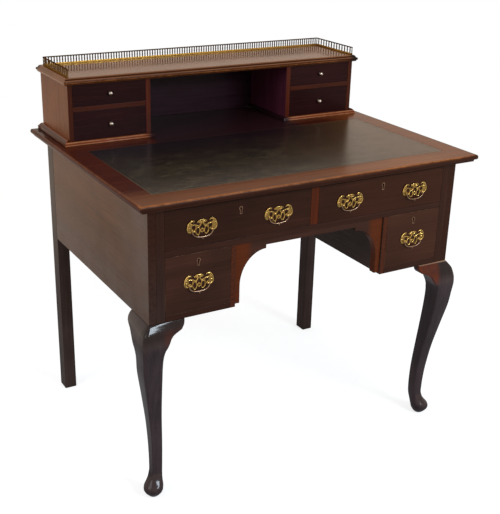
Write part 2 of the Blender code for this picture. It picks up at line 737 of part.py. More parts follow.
def cut_lock_seat(drawer, z):
    """The pocket and the keyhole that the lock fills, grown by the gap."""
    case_front = FRONT_THICKNESS - LOCK_DEPTH
    pocket = helper_box(
        f"{drawer.name}_lock_pocket",
        (-LOCK_WIDTH / 2 - GAP, case_front - GAP, z - LOCK_BELOW - GAP),
        (LOCK_WIDTH / 2 + GAP, FRONT_THICKNESS + OVERRUN, z + LOCK_ABOVE + GAP),
        drawer,
    )
    length = case_front + OVERRUN + OVERRUN
    keyhole = upright_mesh(f"{drawer.name}_keyhole", [keyhole_outline(GAP)], length)
    cut(drawer, pocket)
    cut(drawer, helper(f"{drawer.name}_keyhole", keyhole, (0, length / 2 - OVERRUN, z), drawer))


def cut_bolt_holes(drawer, x, z):
    length = FRONT_THICKNESS + OVERRUN + OVERRUN
    for side, sign in SIDES:
        name = f"{drawer.name}_bolt_{side}_{'right' if x > 0 else 'left'}"
        hole = cylinder_mesh(name, BOLT_RADIUS + GAP, length, ROUND_STEPS, (0, 1, 0))
        place_at = (x + sign * POST_SPREAD, FRONT_THICKNESS / 2, z - POST_DROP)
        cut(drawer, helper(name, hole, place_at, drawer))


def make_case_drawer(name, sign, x_span, z_span, lock_drop, handles):
    """A drawer with its lock, and a backplate and a bail for each handle: its name, X and height."""
    x_low, x_high = side_span(sign, *x_span)
    width = x_high - x_low - PLAY - PLAY
    height = z_span[1] - z_span[0] - GAP - PLAY
    mesh = open_box_mesh(name, width, DRAWER_LENGTH, height, FRONT_THICKNESS, DRAWER_SIDE, DRAWER_BOTTOM)
    drawer = place(name, mesh, ((x_low + x_high) / 2, CASE_FRONT, z_span[0] + GAP), MAHOGANY_DARK)
    lock_height = height - lock_drop
    cut_lock_seat(drawer, lock_height)
    place(name.replace("drawer", "lock"), LOCK_MESH, (0, 0, lock_height), BRASS, drawer)
    for handle, x, z in handles:
        cut_bolt_holes(drawer, x, z)
        place(f"backplate_{handle}", PLATE_MESH, (x, 0, z), BRASS, drawer)
        place(f"bail_{handle}", BAIL_MESH, (x, -BAIL_REACH, z - POST_DROP), BRASS, drawer)


def make_case_drawers():
    for side, sign in SIDES:
        outer, inner = sign * FRIEZE_HANDLE_SPREAD, -sign * FRIEZE_HANDLE_SPREAD
        make_case_drawer(
            f"frieze_drawer_{side}", sign, (DIVISION_THICKNESS / 2, INNER_HALF), (FRIEZE_BOTTOM, FRIEZE_TOP),
            LOCK_DROP_IN_FRIEZE,
            (
                (f"frieze_outer_{side}", outer, HANDLE_HEIGHT_IN_FRIEZE),
                (f"frieze_inner_{side}", inner, HANDLE_HEIGHT_IN_FRIEZE),
            ),
        )
        make_case_drawer(
            f"pedestal_drawer_{side}", sign, (PEDESTAL_INNER, INNER_HALF), (PEDESTAL_FLOOR, KNEEHOLE_TOP),
            LOCK_DROP_IN_PEDESTAL, ((f"pedestal_{side}", 0, HANDLE_HEIGHT_IN_PEDESTAL),),
        )


def make_plinth(side, sign):
    """A moulded board under the small drawers, with a lip that rises outside the end panel."""
    x_low, x_high = side_span(sign, PARTITION_FACE - PLINTH_INNER, STAGE_HALF + PLINTH_SIDE)
    front = STAGE_FRONT - PLINTH_FRONT
    size = (x_high - x_low, STAGE_REAR - front, PLINTH_THICKNESS)
    middle = ((x_low + x_high) / 2, (front + STAGE_REAR) / 2, WRITING_HEIGHT + GAP)
    name = f"plinth_{side}"
    plinth = place(name, moulded_mesh(name, size, PLINTH_EDGE_INSET, PLINTH_EDGE_SHARES), middle, MAHOGANY)
    lip_low, lip_high = side_span(sign, STAGE_HALF + GAP, STAGE_HALF + PLINTH_SIDE - PLINTH_EDGE_INSET)
    lip_size = (lip_high - lip_low, STAGE_REAR - front - PLINTH_EDGE_INSET * 2, PLINTH_LIP_HEIGHT - OVERRUN)
    lip = helper(
        f"{name}_lip",
        moulded_mesh(f"{name}_lip", lip_size, PLINTH_EDGE_INSET, PLINTH_LIP_SHARES),
        ((lip_low + lip_high) / 2, middle[1], middle[2] + OVERRUN),
    )
    join(plinth, lip)
    notch_low, notch_high = side_span(sign, 0, STAGE_HALF - END_THICKNESS)
    notch = helper_box(
        f"{name}_back_notch",
        (notch_low, STAGE_BACK_FACE - GAP, WRITING_HEIGHT - OVERRUN),
        (notch_high, STAGE_REAR + OVERRUN, STAGE_FLOOR + OVERRUN),
    )
    cut(plinth, notch)


def make_stage():
    inner = STAGE_HALF - END_THICKNESS
    for side, sign in SIDES:
        make_plinth(side, sign)
        side_board(
            f"end_panel_{side}", sign, (inner, STAGE_HALF), (STAGE_FRONT, STAGE_REAR),
            (STAGE_FLOOR + GAP, SHELF_BOTTOM - GAP), MAHOGANY_SIDE,
        )
        side_board(
            f"partition_{side}", sign, (PARTITION_FACE, PARTITION_OUTER),
            (STAGE_FRONT, STAGE_BACK_FACE - GAP), (STAGE_FLOOR + GAP, SHELF_BOTTOM - GAP), MAHOGANY_RED,
        )
        side_board(
            f"divider_{side}", sign, (PARTITION_OUTER + GAP, inner - GAP),
            (STAGE_FRONT, STAGE_BACK_FACE - GAP), (DIVIDER_BOTTOM, DIVIDER_TOP), MAHOGANY_RED,
        )
    board(
        "stage_back", (GAP - inner, STAGE_BACK_FACE, WRITING_HEIGHT + GAP),
        (inner - GAP, STAGE_REAR, SHELF_BOTTOM - GAP), MAHOGANY_DARK,
    )
    size = (SHELF_WIDTH, SHELF_DEPTH, SHELF_THICKNESS)
    shelf = moulded_mesh("shelf", size, SHELF_EDGE_INSET, SHELF_EDGE_SHARES)
    place("shelf", shelf, (0, SHELF_FRONT + SHELF_DEPTH / 2, SHELF_BOTTOM), MAHOGANY)


def make_stage_drawers():
    inner = STAGE_HALF - END_THICKNESS
    levels = (("lower", STAGE_FLOOR, DIVIDER_BOTTOM), ("upper", DIVIDER_TOP, SHELF_BOTTOM))
    width = inner - PARTITION_OUTER - PLAY - PLAY
    middle = (inner + PARTITION_OUTER) / 2
    for level, floor, ceiling in levels:
        height = ceiling - floor - GAP - PLAY
        for side, sign in SIDES:
            name = f"small_drawer_{level}_{side}"
            mesh = open_box_mesh(
                name, width, STAGE_DRAWER_LENGTH, height, STAGE_FRONT_THICKNESS, STAGE_SIDE, STAGE_BOTTOM
            )
            place_at = (sign * middle, STAGE_FRONT + STAGE_DRAWER_RECESS, floor + GAP)
            drawer = place(name, mesh, place_at, MAHOGANY_DARK)
            hole_length = KNOB_STEM_LENGTH + GAP + OVERRUN
            hole = cylinder_mesh(
                f"{name}_stem_hole", KNOB_STEM_RADIUS + GAP, hole_length, KNOB_STEPS, (0, 1, 0)
            )
            hole_at = (0, hole_length / 2 - OVERRUN, height / 2)
            cut(drawer, helper(f"{name}_stem_hole", hole, hole_at, drawer))
            place(f"knob_{level}_{side}", KNOB_MESH, (0, 0, height / 2), SILVERED, drawer)


def gallery_outlines(length):
    """A rail over a base with a row of slots between the two end posts."""
    half = length / 2
    outlines = [[(-half, 0), (half, 0), (half, GALLERY_HEIGHT), (-half, GALLERY_HEIGHT)]]
    row = length - GALLERY_POST * 2
    slots = round((row + SPINDLE_WIDTH) / SPINDLE_PITCH)
    pitch = (row + SPINDLE_WIDTH) / slots
    top = GALLERY_HEIGHT - GALLERY_RAIL
    for index in range(slots):
        left = GALLERY_POST - half + index * pitch
        right = left + pitch - SPINDLE_WIDTH
        outlines.append([(left, GALLERY_BASE), (left, top), (right, top), (right, GALLERY_BASE)])
    return outlines


def make_gallery():
    floor = SHELF_TOP + GAP
    back = outline_curve("gallery_back", gallery_outlines(GALLERY_WIDTH), GALLERY_THICKNESS)
    place("gallery_back", back, (0, GALLERY_BACK, floor), BRASS).rotation_euler = UPRIGHT
    length = GALLERY_BACK - GALLERY_THICKNESS / 2 - GAP - GALLERY_FRONT
    x = GALLERY_WIDTH / 2 - GALLERY_THICKNESS / 2
    for side, sign in SIDES:
        curve = outline_curve(f"gallery_{side}", gallery_outlines(length), GALLERY_THICKNESS)
        place_at = (sign * x, GALLERY_FRONT + length / 2, floor)
        place(f"gallery_{side}", curve, place_at, BRASS).rotation_euler = UPRIGHT_SIDEWAYS


clear_scene()
PARTS = new_collection("writing_desk")
CUTTERS = new_collection("cutters")

MAHOGANY = new_material("mahogany", (0.085, 0.035, 0.020), 0.28)
MAHOGANY_SIDE = new_material("mahogany_side", (0.120, 0.070, 0.045), 0.30)
MAHOGANY_RED = new_material("mahogany_red", (0.110, 0.040, 0.022), 0.28)
MAHOGANY_DARK = new_material("mahogany_dark", (0.045, 0.018, 0.015), 0.28)
LEATHER = new_material("leather", (0.030, 0.024, 0.022), 0.45)
BRASS = new_material("brass", (0.560, 0.380, 0.120), 0.30, 1.0)
SILVERED = new_material("silvered_metal", (0.720, 0.700, 0.650), 0.25, 1.0)

BAIL_MESH = bail_mesh()
PLATE_MESH = plate_mesh()
LOCK_MESH = lock_mesh()
KNOB_MESH = knob_mesh()

make_writing_top()
make_case()
make_apron()
make_cabriole_legs()
make_case_drawers()
make_stage()
make_stage_drawers()
make_gallery()
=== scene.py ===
import json
import math

import bmesh
import bpy
from mathutils import Matrix, Vector

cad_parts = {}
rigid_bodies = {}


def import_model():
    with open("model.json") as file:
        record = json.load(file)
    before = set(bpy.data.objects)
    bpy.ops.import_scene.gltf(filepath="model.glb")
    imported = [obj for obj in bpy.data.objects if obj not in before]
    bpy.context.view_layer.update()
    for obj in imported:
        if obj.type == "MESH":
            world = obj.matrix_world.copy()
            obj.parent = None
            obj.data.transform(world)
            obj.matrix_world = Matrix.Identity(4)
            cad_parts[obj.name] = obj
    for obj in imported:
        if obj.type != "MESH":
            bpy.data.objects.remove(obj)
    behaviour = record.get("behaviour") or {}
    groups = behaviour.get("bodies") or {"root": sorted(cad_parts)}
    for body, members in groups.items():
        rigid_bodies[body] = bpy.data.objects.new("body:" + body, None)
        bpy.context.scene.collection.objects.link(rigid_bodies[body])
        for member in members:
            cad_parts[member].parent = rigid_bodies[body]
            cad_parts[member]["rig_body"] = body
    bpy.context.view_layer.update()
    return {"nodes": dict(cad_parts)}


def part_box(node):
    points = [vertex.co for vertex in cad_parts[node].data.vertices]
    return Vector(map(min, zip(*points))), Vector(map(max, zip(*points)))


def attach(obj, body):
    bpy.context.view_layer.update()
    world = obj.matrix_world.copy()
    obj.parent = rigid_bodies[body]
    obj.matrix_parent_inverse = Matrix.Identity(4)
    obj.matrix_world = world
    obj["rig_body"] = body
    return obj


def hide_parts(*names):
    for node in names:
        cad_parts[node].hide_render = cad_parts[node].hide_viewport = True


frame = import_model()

MM = 0.001
GAP = 0.0003
SIDES = (("left", -1), ("right", 1))
WHITE = (1, 1, 1)


# Node trees

PIECE_SHIFT = (7.3, 3.9, 5.7)
ALONG_GRAIN = 0.05
RELIEF_DEPTH = 0.2 * MM


class Tree:
    """A material and short calls that add nodes to it."""

    def __init__(self, name):
        self.material = bpy.data.materials.new(name)
        self.material.use_nodes = True
        self.nodes = self.material.node_tree.nodes
        self.links = self.material.node_tree.links
        self.shader = self.nodes["Principled BSDF"]

    def put(self, socket, value):
        if isinstance(value, bpy.types.NodeSocket):
            self.links.new(value, socket)
        else:
            socket.default_value = value

    def add(self, kind, inputs=(), **settings):
        node = self.nodes.new("ShaderNode" + kind)
        for key, value in settings.items():
            setattr(node, key, value)
        for key, value in dict(inputs).items():
            self.put(node.inputs[key], value)
        return node

    def set(self, **inputs):
        for key, value in inputs.items():
            self.put(self.shader.inputs[key.replace("_", " ")], value)

    def first(self, kind, *values, **settings):
        """The first output of a node whose first inputs take the values."""
        return self.add(kind, enumerate(values), **settings).outputs[0]

    def parts(self, kind, output):
        """X, Y and Z of another node's output."""
        return self.add("SeparateXYZ", {0: self.add(kind).outputs[output]}).outputs

    def math(self, operation, *values):
        return self.first("Math", *values, operation=operation)

    def times(self, product, *others):
        for other in others:
            product = self.math("MULTIPLY", product, other)
        return product

    def scaled(self, space, stretch):
        return self.first("VectorMath", space, stretch, operation="MULTIPLY")

    def noise(self, space, scale, detail=3.0, roughness=0.55, distortion=0.0):
        inputs = {"Vector": space, "Scale": scale, "Detail": detail, "Roughness": roughness, "Distortion": distortion}
        return self.add("TexNoise", inputs).outputs["Fac"]

    def remap(self, value, low, high, to_low=0.0, to_high=1.0):
        return self.first("MapRange", value, low, high, to_low, to_high)

    def spread(self, noise, low=0.0, high=1.0):
        """The range that a noise fills, taken to another one."""
        return self.remap(noise, 0.3, 0.7, low, high)

    def mix(self, factor, first, second, blend="MIX"):
        node = self.add("Mix", data_type="RGBA", blend_type=blend)
        for socket, value in ((node.inputs[0], factor), (node.inputs[6], first), (node.inputs[7], second)):
            self.put(socket, (*value, 1.0) if isinstance(value, tuple) else value)
        return node.outputs[2]

    def ramp(self, factor, positions, colours):
        node = self.add("ValToRGB", {"Fac": factor})
        elements = node.color_ramp.elements
        elements.new(0.5)
        for element, position, colour in zip(elements, positions, colours):
            element.position = position
            element.color = (*colour, 1.0)
        return node.outputs["Color"]

    def bump(self, height, strength, depth=RELIEF_DEPTH):
        return self.add("Bump", {"Height": height, "Strength": strength, "Distance": depth}).outputs["Normal"]

    def own_space(self):
        """Object coordinates, moved by another amount for each piece so that no grain runs on."""
        seed = self.add("ObjectInfo").outputs["Random"]
        shift = self.add("VectorMath", {0: PIECE_SHIFT, "Scale": seed}, operation="SCALE").outputs[0]
        return self.first("VectorMath", self.add("TexCoord").outputs["Object"], shift, operation="ADD")

    def attribute(self, name):
        return self.add("Attribute", attribute_name=name).outputs["Fac"]

    def facing(self, axis, sign, low=0.6, high=0.85):
        """One on faces that look along an axis."""
        return self.remap(self.times(self.parts("NewGeometry", "Normal")[axis], sign), low, high)


class Wood(Tree):
    """Mahogany whose grain runs along one axis, in a dark, a middle and a light tone, and what is laid over it."""

    def __init__(self, name, axis, tones, pore=0.45):
        super().__init__(name)
        self.space = self.own_space()
        self.place = self.parts("TexCoord", "Object")
        self.wear = self.attribute("wear")
        stretch = tuple(ALONG_GRAIN if letter == axis else 1.0 for letter in "XYZ")
        grain = self.scaled(self.space, stretch)
        figure = self.noise(grain, 22.0, 3.0, 0.5, 0.9)
        self.streak = self.noise(grain, 150.0, 4.0, 0.65, 0.4)
        half_streak = self.times(self.streak, 0.5)
        tone = self.math("MULTIPLY_ADD", figure, 0.5, half_streak)
        colour = self.ramp(tone, (0.33, 0.5, 0.68), tones)
        pores = self.remap(self.noise(grain, 900.0, 3.0, 0.6), 0.58, 0.72, 0.0, pore)
        colour = self.mix(pores, colour, tuple(0.45 * value for value in tones[0]))
        shade = self.spread(self.noise(self.space, 7.0, 2.0, 0.5), 0.78, 1.2)
        self.colour = self.mix(1.0, colour, self.first("CombineColor", shade, shade, shade), "MULTIPLY")
        self.relief = self.math("SUBTRACT", half_streak, pores)

    def streaky(self, tone, reach=0.3):
        """A tone that the streaks of the grain make lighter and darker."""
        low, high = (tuple(share * value for value in tone) for share in (1 - reach, 1 + reach))
        return self.mix(self.spread(self.streak), low, high)

    def lay(self, factor, colour):
        self.colour = self.mix(factor, self.colour, colour)

    def tint(self, factor, tone, reach=0.3):
        self.lay(factor, self.streaky(tone, reach))

    def ease_wear(self, factor):
        self.wear = self.times(self.wear, factor)

    def polish(self, roughness, level, strength=0.2):
        normal = self.bump(self.relief, strength)
        self.set(Base_Color=self.colour, Roughness=roughness, Normal=normal, Specular_IOR_Level=level)
        return self.material


def fade_top(tree, left, front, right):
    """The tones that daylight gave the writing top's border at the left, in front and at the right."""
    x, y, _ = tree.place
    up = tree.facing("Z", 1)
    light = tree.mix(tree.remap(x, 0.0, 0.26), tree.streaky(left), tree.streaky(front))
    tree.lay(tree.times(tree.remap(y, -0.24, -0.31), up), light)
    tree.tint(tree.times(tree.remap(x, 0.3, 0.42), up), right)
    tree.ease_wear(tree.remap(y, -0.326, -0.34, 0.3, 1.0))


def paint_shading_on_right_end(tree, start, tone):
    """Painted shading: another tone, without wear, from X = start to the right and at the left edge's rear end."""
    x, y, _ = tree.place
    rear_tip_shading = tree.times(tree.remap(x, -0.418, -0.427), tree.remap(y, 0.325, 0.34))
    tree.tint(tree.math("MAXIMUM", tree.remap(x, start, start + 0.01), rear_tip_shading), tone)
    tree.ease_wear(tree.remap(x, start - 0.05, start, 1.0, 0.0))


def wear_ears_and_shade_knee(tree):
    """Ears worn beside the knee, the right leg's most, a pale line on its top, and painted shade on the knee."""
    x, y, z = tree.place
    in_front = tree.remap(y, -0.294, -0.304)
    beside = tree.remap(tree.math("ABSOLUTE", x), 0.4, 0.386)
    reach = tree.math("MAXIMUM", tree.remap(x, -0.1, 0.1), tree.remap(z, 0.448, 0.434, 0.0, 0.35))
    line = tree.times(tree.remap(z, 0.4568, 0.4584, 0.0, 0.7), tree.remap(x, 0.0, 0.1))
    tree.wear = tree.times(in_front, beside, tree.remap(z, 0.398, 0.418), reach, tree.math("SUBTRACT", 1.0, line))
    # Painted shade on the upper front of the knee, most on the left leg.
    knee = tree.times(tree.remap(z, 0.412, 0.43), tree.remap(x, 0.1, -0.1, 0.75, 0.85))
    tree.lay(tree.times(knee, in_front), (0.01, 0.005, 0.006))
    tree.lay(tree.times(line, in_front), (0.4, 0.23, 0.14))


def paint_compartment_shade(tree, start):
    """Painted shade between the stage's partitions, behind Y = start, where the shelf shadows the board; no wear there.
    """
    x, y, _ = tree.place
    inside = tree.times(tree.remap(tree.math("ABSOLUTE", x), 0.222, 0.204), tree.remap(y, start, start + 0.01))
    tree.lay(inside, (0.024, 0.008, 0.01))
    tree.ease_wear(tree.math("SUBTRACT", 1.0, inside))


def wood(name, axis, tones, gloss=0.22, level=0.12, worn=(0.3, 0.12, 0.05), strength=0.25, edge=None, edge_low=None,
         faded=None, bracket=None, dust_and_sheen=None, compartment_shade=None, right=None, left=None, ears=False):
    """Polished mahogany.

    edge is the tone of its front faces and edge_low their greyer tone at the lower left, partly dirt and partly a
    painted reflection of the floor. bracket is the tone of the pieces glued on at the kneehole's sides, dust a grey
    haze on its low and front parts, partly dirt and partly a painted reflection of the floor, and left a darker tone,
    painted shade, of faces that look to the left. The others are what fade_top, shelter, paint_shading_on_right_end and
    wear_ears_and_shade_knee take.
    """
    tree = Wood(f"mahogany_{name}", axis, tones)
    x, y, z = tree.place
    if faded:
        fade_top(tree, *faded)
    if bracket:
        tree.tint(tree.remap(tree.math("ABSOLUTE", x), 0.16, 0.178), bracket, 0.12)
    # A grey haze low down and at the front: partly dirt and partly a painted reflection of the floor.
    if dust_and_sheen:
        low_down = tree.math("MAXIMUM", tree.remap(z, 0.62, 0.47), tree.remap(y, -0.1, -0.3))
        tree.lay(tree.times(low_down, tree.spread(tree.noise(tree.space, 14.0, 4.0, 0.6), 0.3, 0.8)), dust_and_sheen)
    if edge:
        front = tree.streaky(edge)
        # Greyer front faces at the lower left: partly dirt and partly a painted reflection of the floor.
        if edge_low:
            at_left = tree.times(tree.remap(z, 0.66, 0.47), tree.remap(x, 0.1, -0.1))
            front = tree.mix(at_left, front, tree.streaky(edge_low))
        tree.lay(tree.facing("Y", -1), front)
    # Painted shading on the right end and at the left edge's rear end.
    if right:
        paint_shading_on_right_end(tree, *right)
    # Painted shade: faces that look to the left take a darker tone and less wear.
    if left:
        left_facing_shade = tree.facing("X", -1, 0.25, 0.6)
        tree.tint(left_facing_shade, left)
        tree.ease_wear(tree.remap(left_facing_shade, 0.0, 1.0, 1.0, 0.2))
    if ears:
        wear_ears_and_shade_knee(tree)
    # Painted shade inside the stage's compartments.
    if compartment_shade:
        paint_compartment_shade(tree, compartment_shade)
    tree.ease_wear(tree.remap(tree.noise(tree.space, 60.0, 4.0, 0.7), 0.35, 0.65, 0.35, 1.0))
    tree.lay(tree.wear, worn)
    return tree.polish(tree.spread(tree.streak, gloss - 0.03, gloss + 0.06), level, strength)


def drawer_wood(name, front, thickness, joint_pitch, tones, redder=0.2, level=0.1):
    """Polished mahogany on the drawer's front, redder to the right, and pale wood behind it, met in dovetails."""
    lap = 0.004
    tree = Wood(name, "X", tones, 0.2)
    x, y, z = tree.place
    raw_grain = tree.scaled(tree.space, (1.0, ALONG_GRAIN, 1.0))
    raw_tones = ((0.17, 0.085, 0.042), (0.27, 0.15, 0.078), (0.36, 0.21, 0.115))
    raw = tree.ramp(tree.noise(raw_grain, 130.0, 4.0, 0.6, 0.3), (0.3, 0.5, 0.7), raw_tones)
    depth = tree.math("SUBTRACT", y, front)
    behind = tree.math("GREATER_THAN", depth, thickness - 0.0002)
    in_joint = tree.math("GREATER_THAN", depth, lap)
    height = tree.math("FRACT", tree.math("DIVIDE", z, joint_pitch))
    off_pin = tree.math("ABSOLUTE", tree.math("SUBTRACT", height, 0.5))
    tail = tree.math("GREATER_THAN", off_pin, tree.remap(depth, lap, thickness, 0.08, 0.17))
    sideways = tree.math("GREATER_THAN", tree.math("ABSOLUTE", tree.parts("NewGeometry", "Normal")["X"]), 0.7)
    inside = tree.math("MAXIMUM", behind, tree.times(in_joint, tail, sideways))
    tree.lay(tree.remap(x, -0.02, 0.2, 0.0, redder), (0.082, 0.023, 0.009))
    tree.ease_wear(tree.remap(tree.noise(tree.space, 30.0), 0.4, 0.6))
    tree.lay(tree.wear, (0.22, 0.105, 0.052))
    tree.lay(inside, raw)
    return tree.polish(tree.math("ADD", tree.spread(tree.streak, 0.2, 0.3), tree.times(inside, 0.3)), level)


def leather():
    tree = Tree("leather_skin")
    space = tree.own_space()
    patches = tree.noise(tree.scaled(space, (0.7, 1.4, 1.0)), 34.0, 6.0, 0.7, 0.3)
    scuffs = tree.noise(tree.scaled(space, (0.5, 1.5, 1.0)), 120.0, 5.0, 0.7)
    cells = tree.add("TexVoronoi", {"Vector": space, "Scale": 900.0, "Randomness": 1.0}).outputs["Distance"]
    mark = tree.math("MULTIPLY_ADD", patches, 0.65, tree.times(scuffs, 0.35))
    tones = ((0.01, 0.008, 0.007), (0.028, 0.02, 0.012), (0.06, 0.046, 0.028))
    colour = tree.ramp(mark, (0.4, 0.5, 0.6), tones)
    colour = tree.mix(tree.remap(scuffs, 0.6, 0.74, 0.0, 0.45), colour, (0.1, 0.08, 0.05))
    x, y, _ = tree.parts("TexCoord", "Object")
    # Lighter and browner towards the right: partly faded leather and partly a painted reflection.
    sunned_and_painted_sheen = tree.times(tree.remap(x, 0.0, 0.34), tree.spread(scuffs, 0.7, 1.0))
    colour = tree.mix(sunned_and_painted_sheen, colour, (0.088, 0.041, 0.016))
    colour = tree.mix(tree.attribute("tooling"), colour, (0.16, 0.1, 0.045))
    # Painted shadow of the stage over the rear of the leather, short of its right end.
    stage_shadow = tree.times(tree.remap(y, -0.15, 0.05), tree.remap(x, 0.34, 0.14), 0.9)
    colour = tree.mix(stage_shadow, colour, (0.01, 0.005, 0.008))
    roughness = tree.remap(mark, 0.38, 0.62, 0.27, 0.2)
    normal = tree.bump(tree.math("ADD", cells, tree.times(scuffs, 0.9)), 0.2)
    tree.set(Base_Color=colour, Roughness=roughness, Normal=normal, Specular_IOR_Level=0.14)
    return tree.material


def metal(name, bright, dull, gloss=0.2, grime=0.0, rim=WHITE):
    """Metal with tarnish in its recesses, from the piece's own relief, and in soft blotches. rim tints its edges."""
    tree = Tree(name)
    space = tree.own_space()
    blotch = tree.remap(tree.noise(space, 160.0, 4.0, 0.6), 0.35, 0.7, 0.0, 0.55)
    scratches = tree.noise(tree.scaled(space, (1.0, 1.0, 0.15)), 2600.0, 2.0, 0.6)
    tarnish = tree.math("MAXIMUM", tree.attribute("tarnish"), tree.math("ADD", blotch, grime))
    tarnish = tree.remap(tarnish, 0.0, 1.0)
    base = tree.remap(tarnish, 0.0, 1.0, gloss, gloss + 0.25)
    roughness = tree.math("ADD", base, tree.spread(scratches, -0.03, 0.05))
    normal = tree.bump(scratches, 0.12, 0.05 * MM)
    tree.set(Base_Color=tree.mix(tarnish, bright, dull), Roughness=roughness, Normal=normal)
    tree.set(Metallic=1.0, Specular_Tint=(*rim, 1.0))
    return tree.material


# Mesh makers

CORNER_STEPS = 3
SHORTEST_EDGE = 9.0 * MM
SMALLEST_RADIUS = 0.02
UP, FORWARD = Vector((0, 0, 1)), Vector((0, -1, 0))


def moulded(low, high, floor, profile, radius=0.8):
    """Rings, each with its value, round a board with round corners whose edge follows a profile.

    The profile is inset, height over the floor and value. It and the radius of the corners are in millimetres.
    """
    rings = []
    for inset, height, value in profile:
        heart = (inset + radius) * MM
        left, right, front, rear = low[0] + heart, high[0] - heart, low[1] + heart, high[1] - heart
        ring = []
        for index, (x, y) in enumerate(((right, rear), (left, rear), (left, front), (right, front))):
            for step in range(CORNER_STEPS + 1):
                angle = math.pi / 2 * (index + step / CORNER_STEPS)
                spot = (x + radius * MM * math.cos(angle), y + radius * MM * math.sin(angle), floor + height * MM)
                ring.append(spot)
        rings.append((ring, value))
    return rings


def skin(bm, rings, capped=True):
    """Quads between rows of points, and faces over the two ends."""
    rows = [[bm.verts.new(point) for point in ring] for ring in rings]
    for upper, lower in zip(rows, rows[1:]):
        for index in range(len(upper)):
            bm.faces.new((upper[index - 1], upper[index], lower[index], lower[index - 1]))
    if capped:
        bm.faces.new(rows[0])
        bm.faces.new(rows[-1])
    return rows


def valued_skin(layer_name, rings):
    """A mesh over rings whose points carry the ring's value in a layer."""
    bm = bmesh.new()
    layer = bm.verts.layers.float.new(layer_name)
    for row, (_, value) in zip(skin(bm, [ring for ring, _ in rings]), rings):
        for vert in row:
            vert[layer] = value
    return bm


def linked(name, data):
    """A new object in the scene."""
    obj = bpy.data.objects.new(name, data)
    bpy.context.scene.collection.objects.link(obj)
    return obj


def mesh_object(name, bm):
    mesh = bpy.data.meshes.new(name)
    bm.to_mesh(mesh)
    bm.free()
    return linked(name, mesh)


def evaluated(obj):
    bpy.context.view_layer.update()
    return obj.evaluated_get(bpy.context.evaluated_depsgraph_get())


def dress(name, bm, material, node, smooth_angle=38.0, weighted=False):
    """A piece from a mesh, which stands for a CAD node and rides on that node's body."""
    bmesh.ops.recalc_face_normals(bm, faces=bm.faces)
    obj = mesh_object(name, bm)
    obj.data.shade_smooth()
    obj.data.set_sharp_from_angle(angle=math.radians(smooth_angle))
    obj.data.materials.append(material)
    if weighted:
        modifier = obj.modifiers.new("even_shading", "WEIGHTED_NORMAL")
        modifier.keep_sharp = True
    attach(obj, frame["nodes"][node]["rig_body"])
    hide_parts(node)


def bevel(bm, edges, width):
    return bmesh.ops.bevel(
        bm, geom=edges, offset=width * MM, segments=2, profile=0.5, affect="EDGES", clamp_overlap=True,
    )


def eased(node, material, slot, width, worn=0.0):
    """A CAD node's own shape with its long arrises eased and worn."""
    bm = bmesh.new()
    bm.from_mesh(frame["nodes"][node].data)
    bmesh.ops.remove_doubles(bm, verts=bm.verts, dist=0.01 * MM)
    bmesh.ops.dissolve_limit(bm, angle_limit=math.radians(0.5), verts=bm.verts, edges=bm.edges)
    edges = [
        edge for edge in bm.edges
        if len(edge.link_faces) == 2 and edge.calc_face_angle() > math.radians(48)
        and edge.calc_length() > SHORTEST_EDGE
    ]
    layer = bm.verts.layers.float.new("wear")
    bevelled = bevel(bm, edges, width)
    rounded = set(bevelled["faces"])
    for vert in bevelled["verts"]:
        if rounded.issuperset(vert.link_faces):
            vert[layer] = worn
    dress(f"{node}_wood", bm, material, node, weighted=True)


def block(bm, low, high):
    """A box from its low corner to its high one."""
    matrix = Matrix.Translation((low + high) / 2) @ Matrix.Diagonal((*(high - low), 1))
    bmesh.ops.create_cube(bm, size=1, matrix=matrix)


def circle(centre, first, second, steps):
    """Points round a centre, from two radii at right angles."""
    angles = [math.tau * step / steps for step in range(steps)]
    return [centre + first * math.cos(angle) + second * math.sin(angle) for angle in angles]


def turned(bm, profile, centre, axis, steps):
    """A turned form: its profile is (radius, length) in millimetres along one axis from a centre."""
    first = Vector((1, 0, 0))
    second = axis.cross(first)
    rings = []
    for radius, length in profile:
        radius = max(radius, SMALLEST_RADIUS) * MM
        rings.append(circle(Vector(centre) + axis * length * MM, first * radius, second * radius, steps))
    skin(bm, rings)


def tarnish_near(bm, front, bright, depth):
    """Tarnish on what lies near the plane Y = front, fading over a depth up to the height bright, in millimetres."""
    layer = bm.verts.layers.float.new("tarnish")
    for vert in bm.verts:
        height = (front - vert.co.y) / MM
        vert[layer] = min(1.0, max(0.0, (bright - height) / depth))


def mirrored(points):
    """Points and, in backward order, the mirror images of those that lie off the middle plane X = 0."""
    return list(points) + [(-x, *others) for x, *others in reversed(points) if x]


def smooth_line(points, parts, closed=False):
    """A curve through points of any number of values, as Catmull and Rom draw it."""
    count = len(points)
    line = []
    for index in range(count if closed else count - 1):
        if closed:
            a, b, c, d = (points[(index + offset) % count] for offset in (-1, 0, 1, 2))
        else:
            b, c = points[index], points[index + 1]
            a = points[index - 1] if index else b
            d = points[index + 2] if index + 2 < count else c
        for part in range(parts):
            t = part / parts
            line.append(tuple(
                0.5 * (2 * q + (r - p) * t + (2 * p - 5 * q + 4 * r - s) * t * t + (3 * q - p - 3 * r + s) * t ** 3)
                for p, q, r, s in zip(a, b, c, d)
            ))
    if not closed:
        line.append(tuple(points[-1]))
    return line


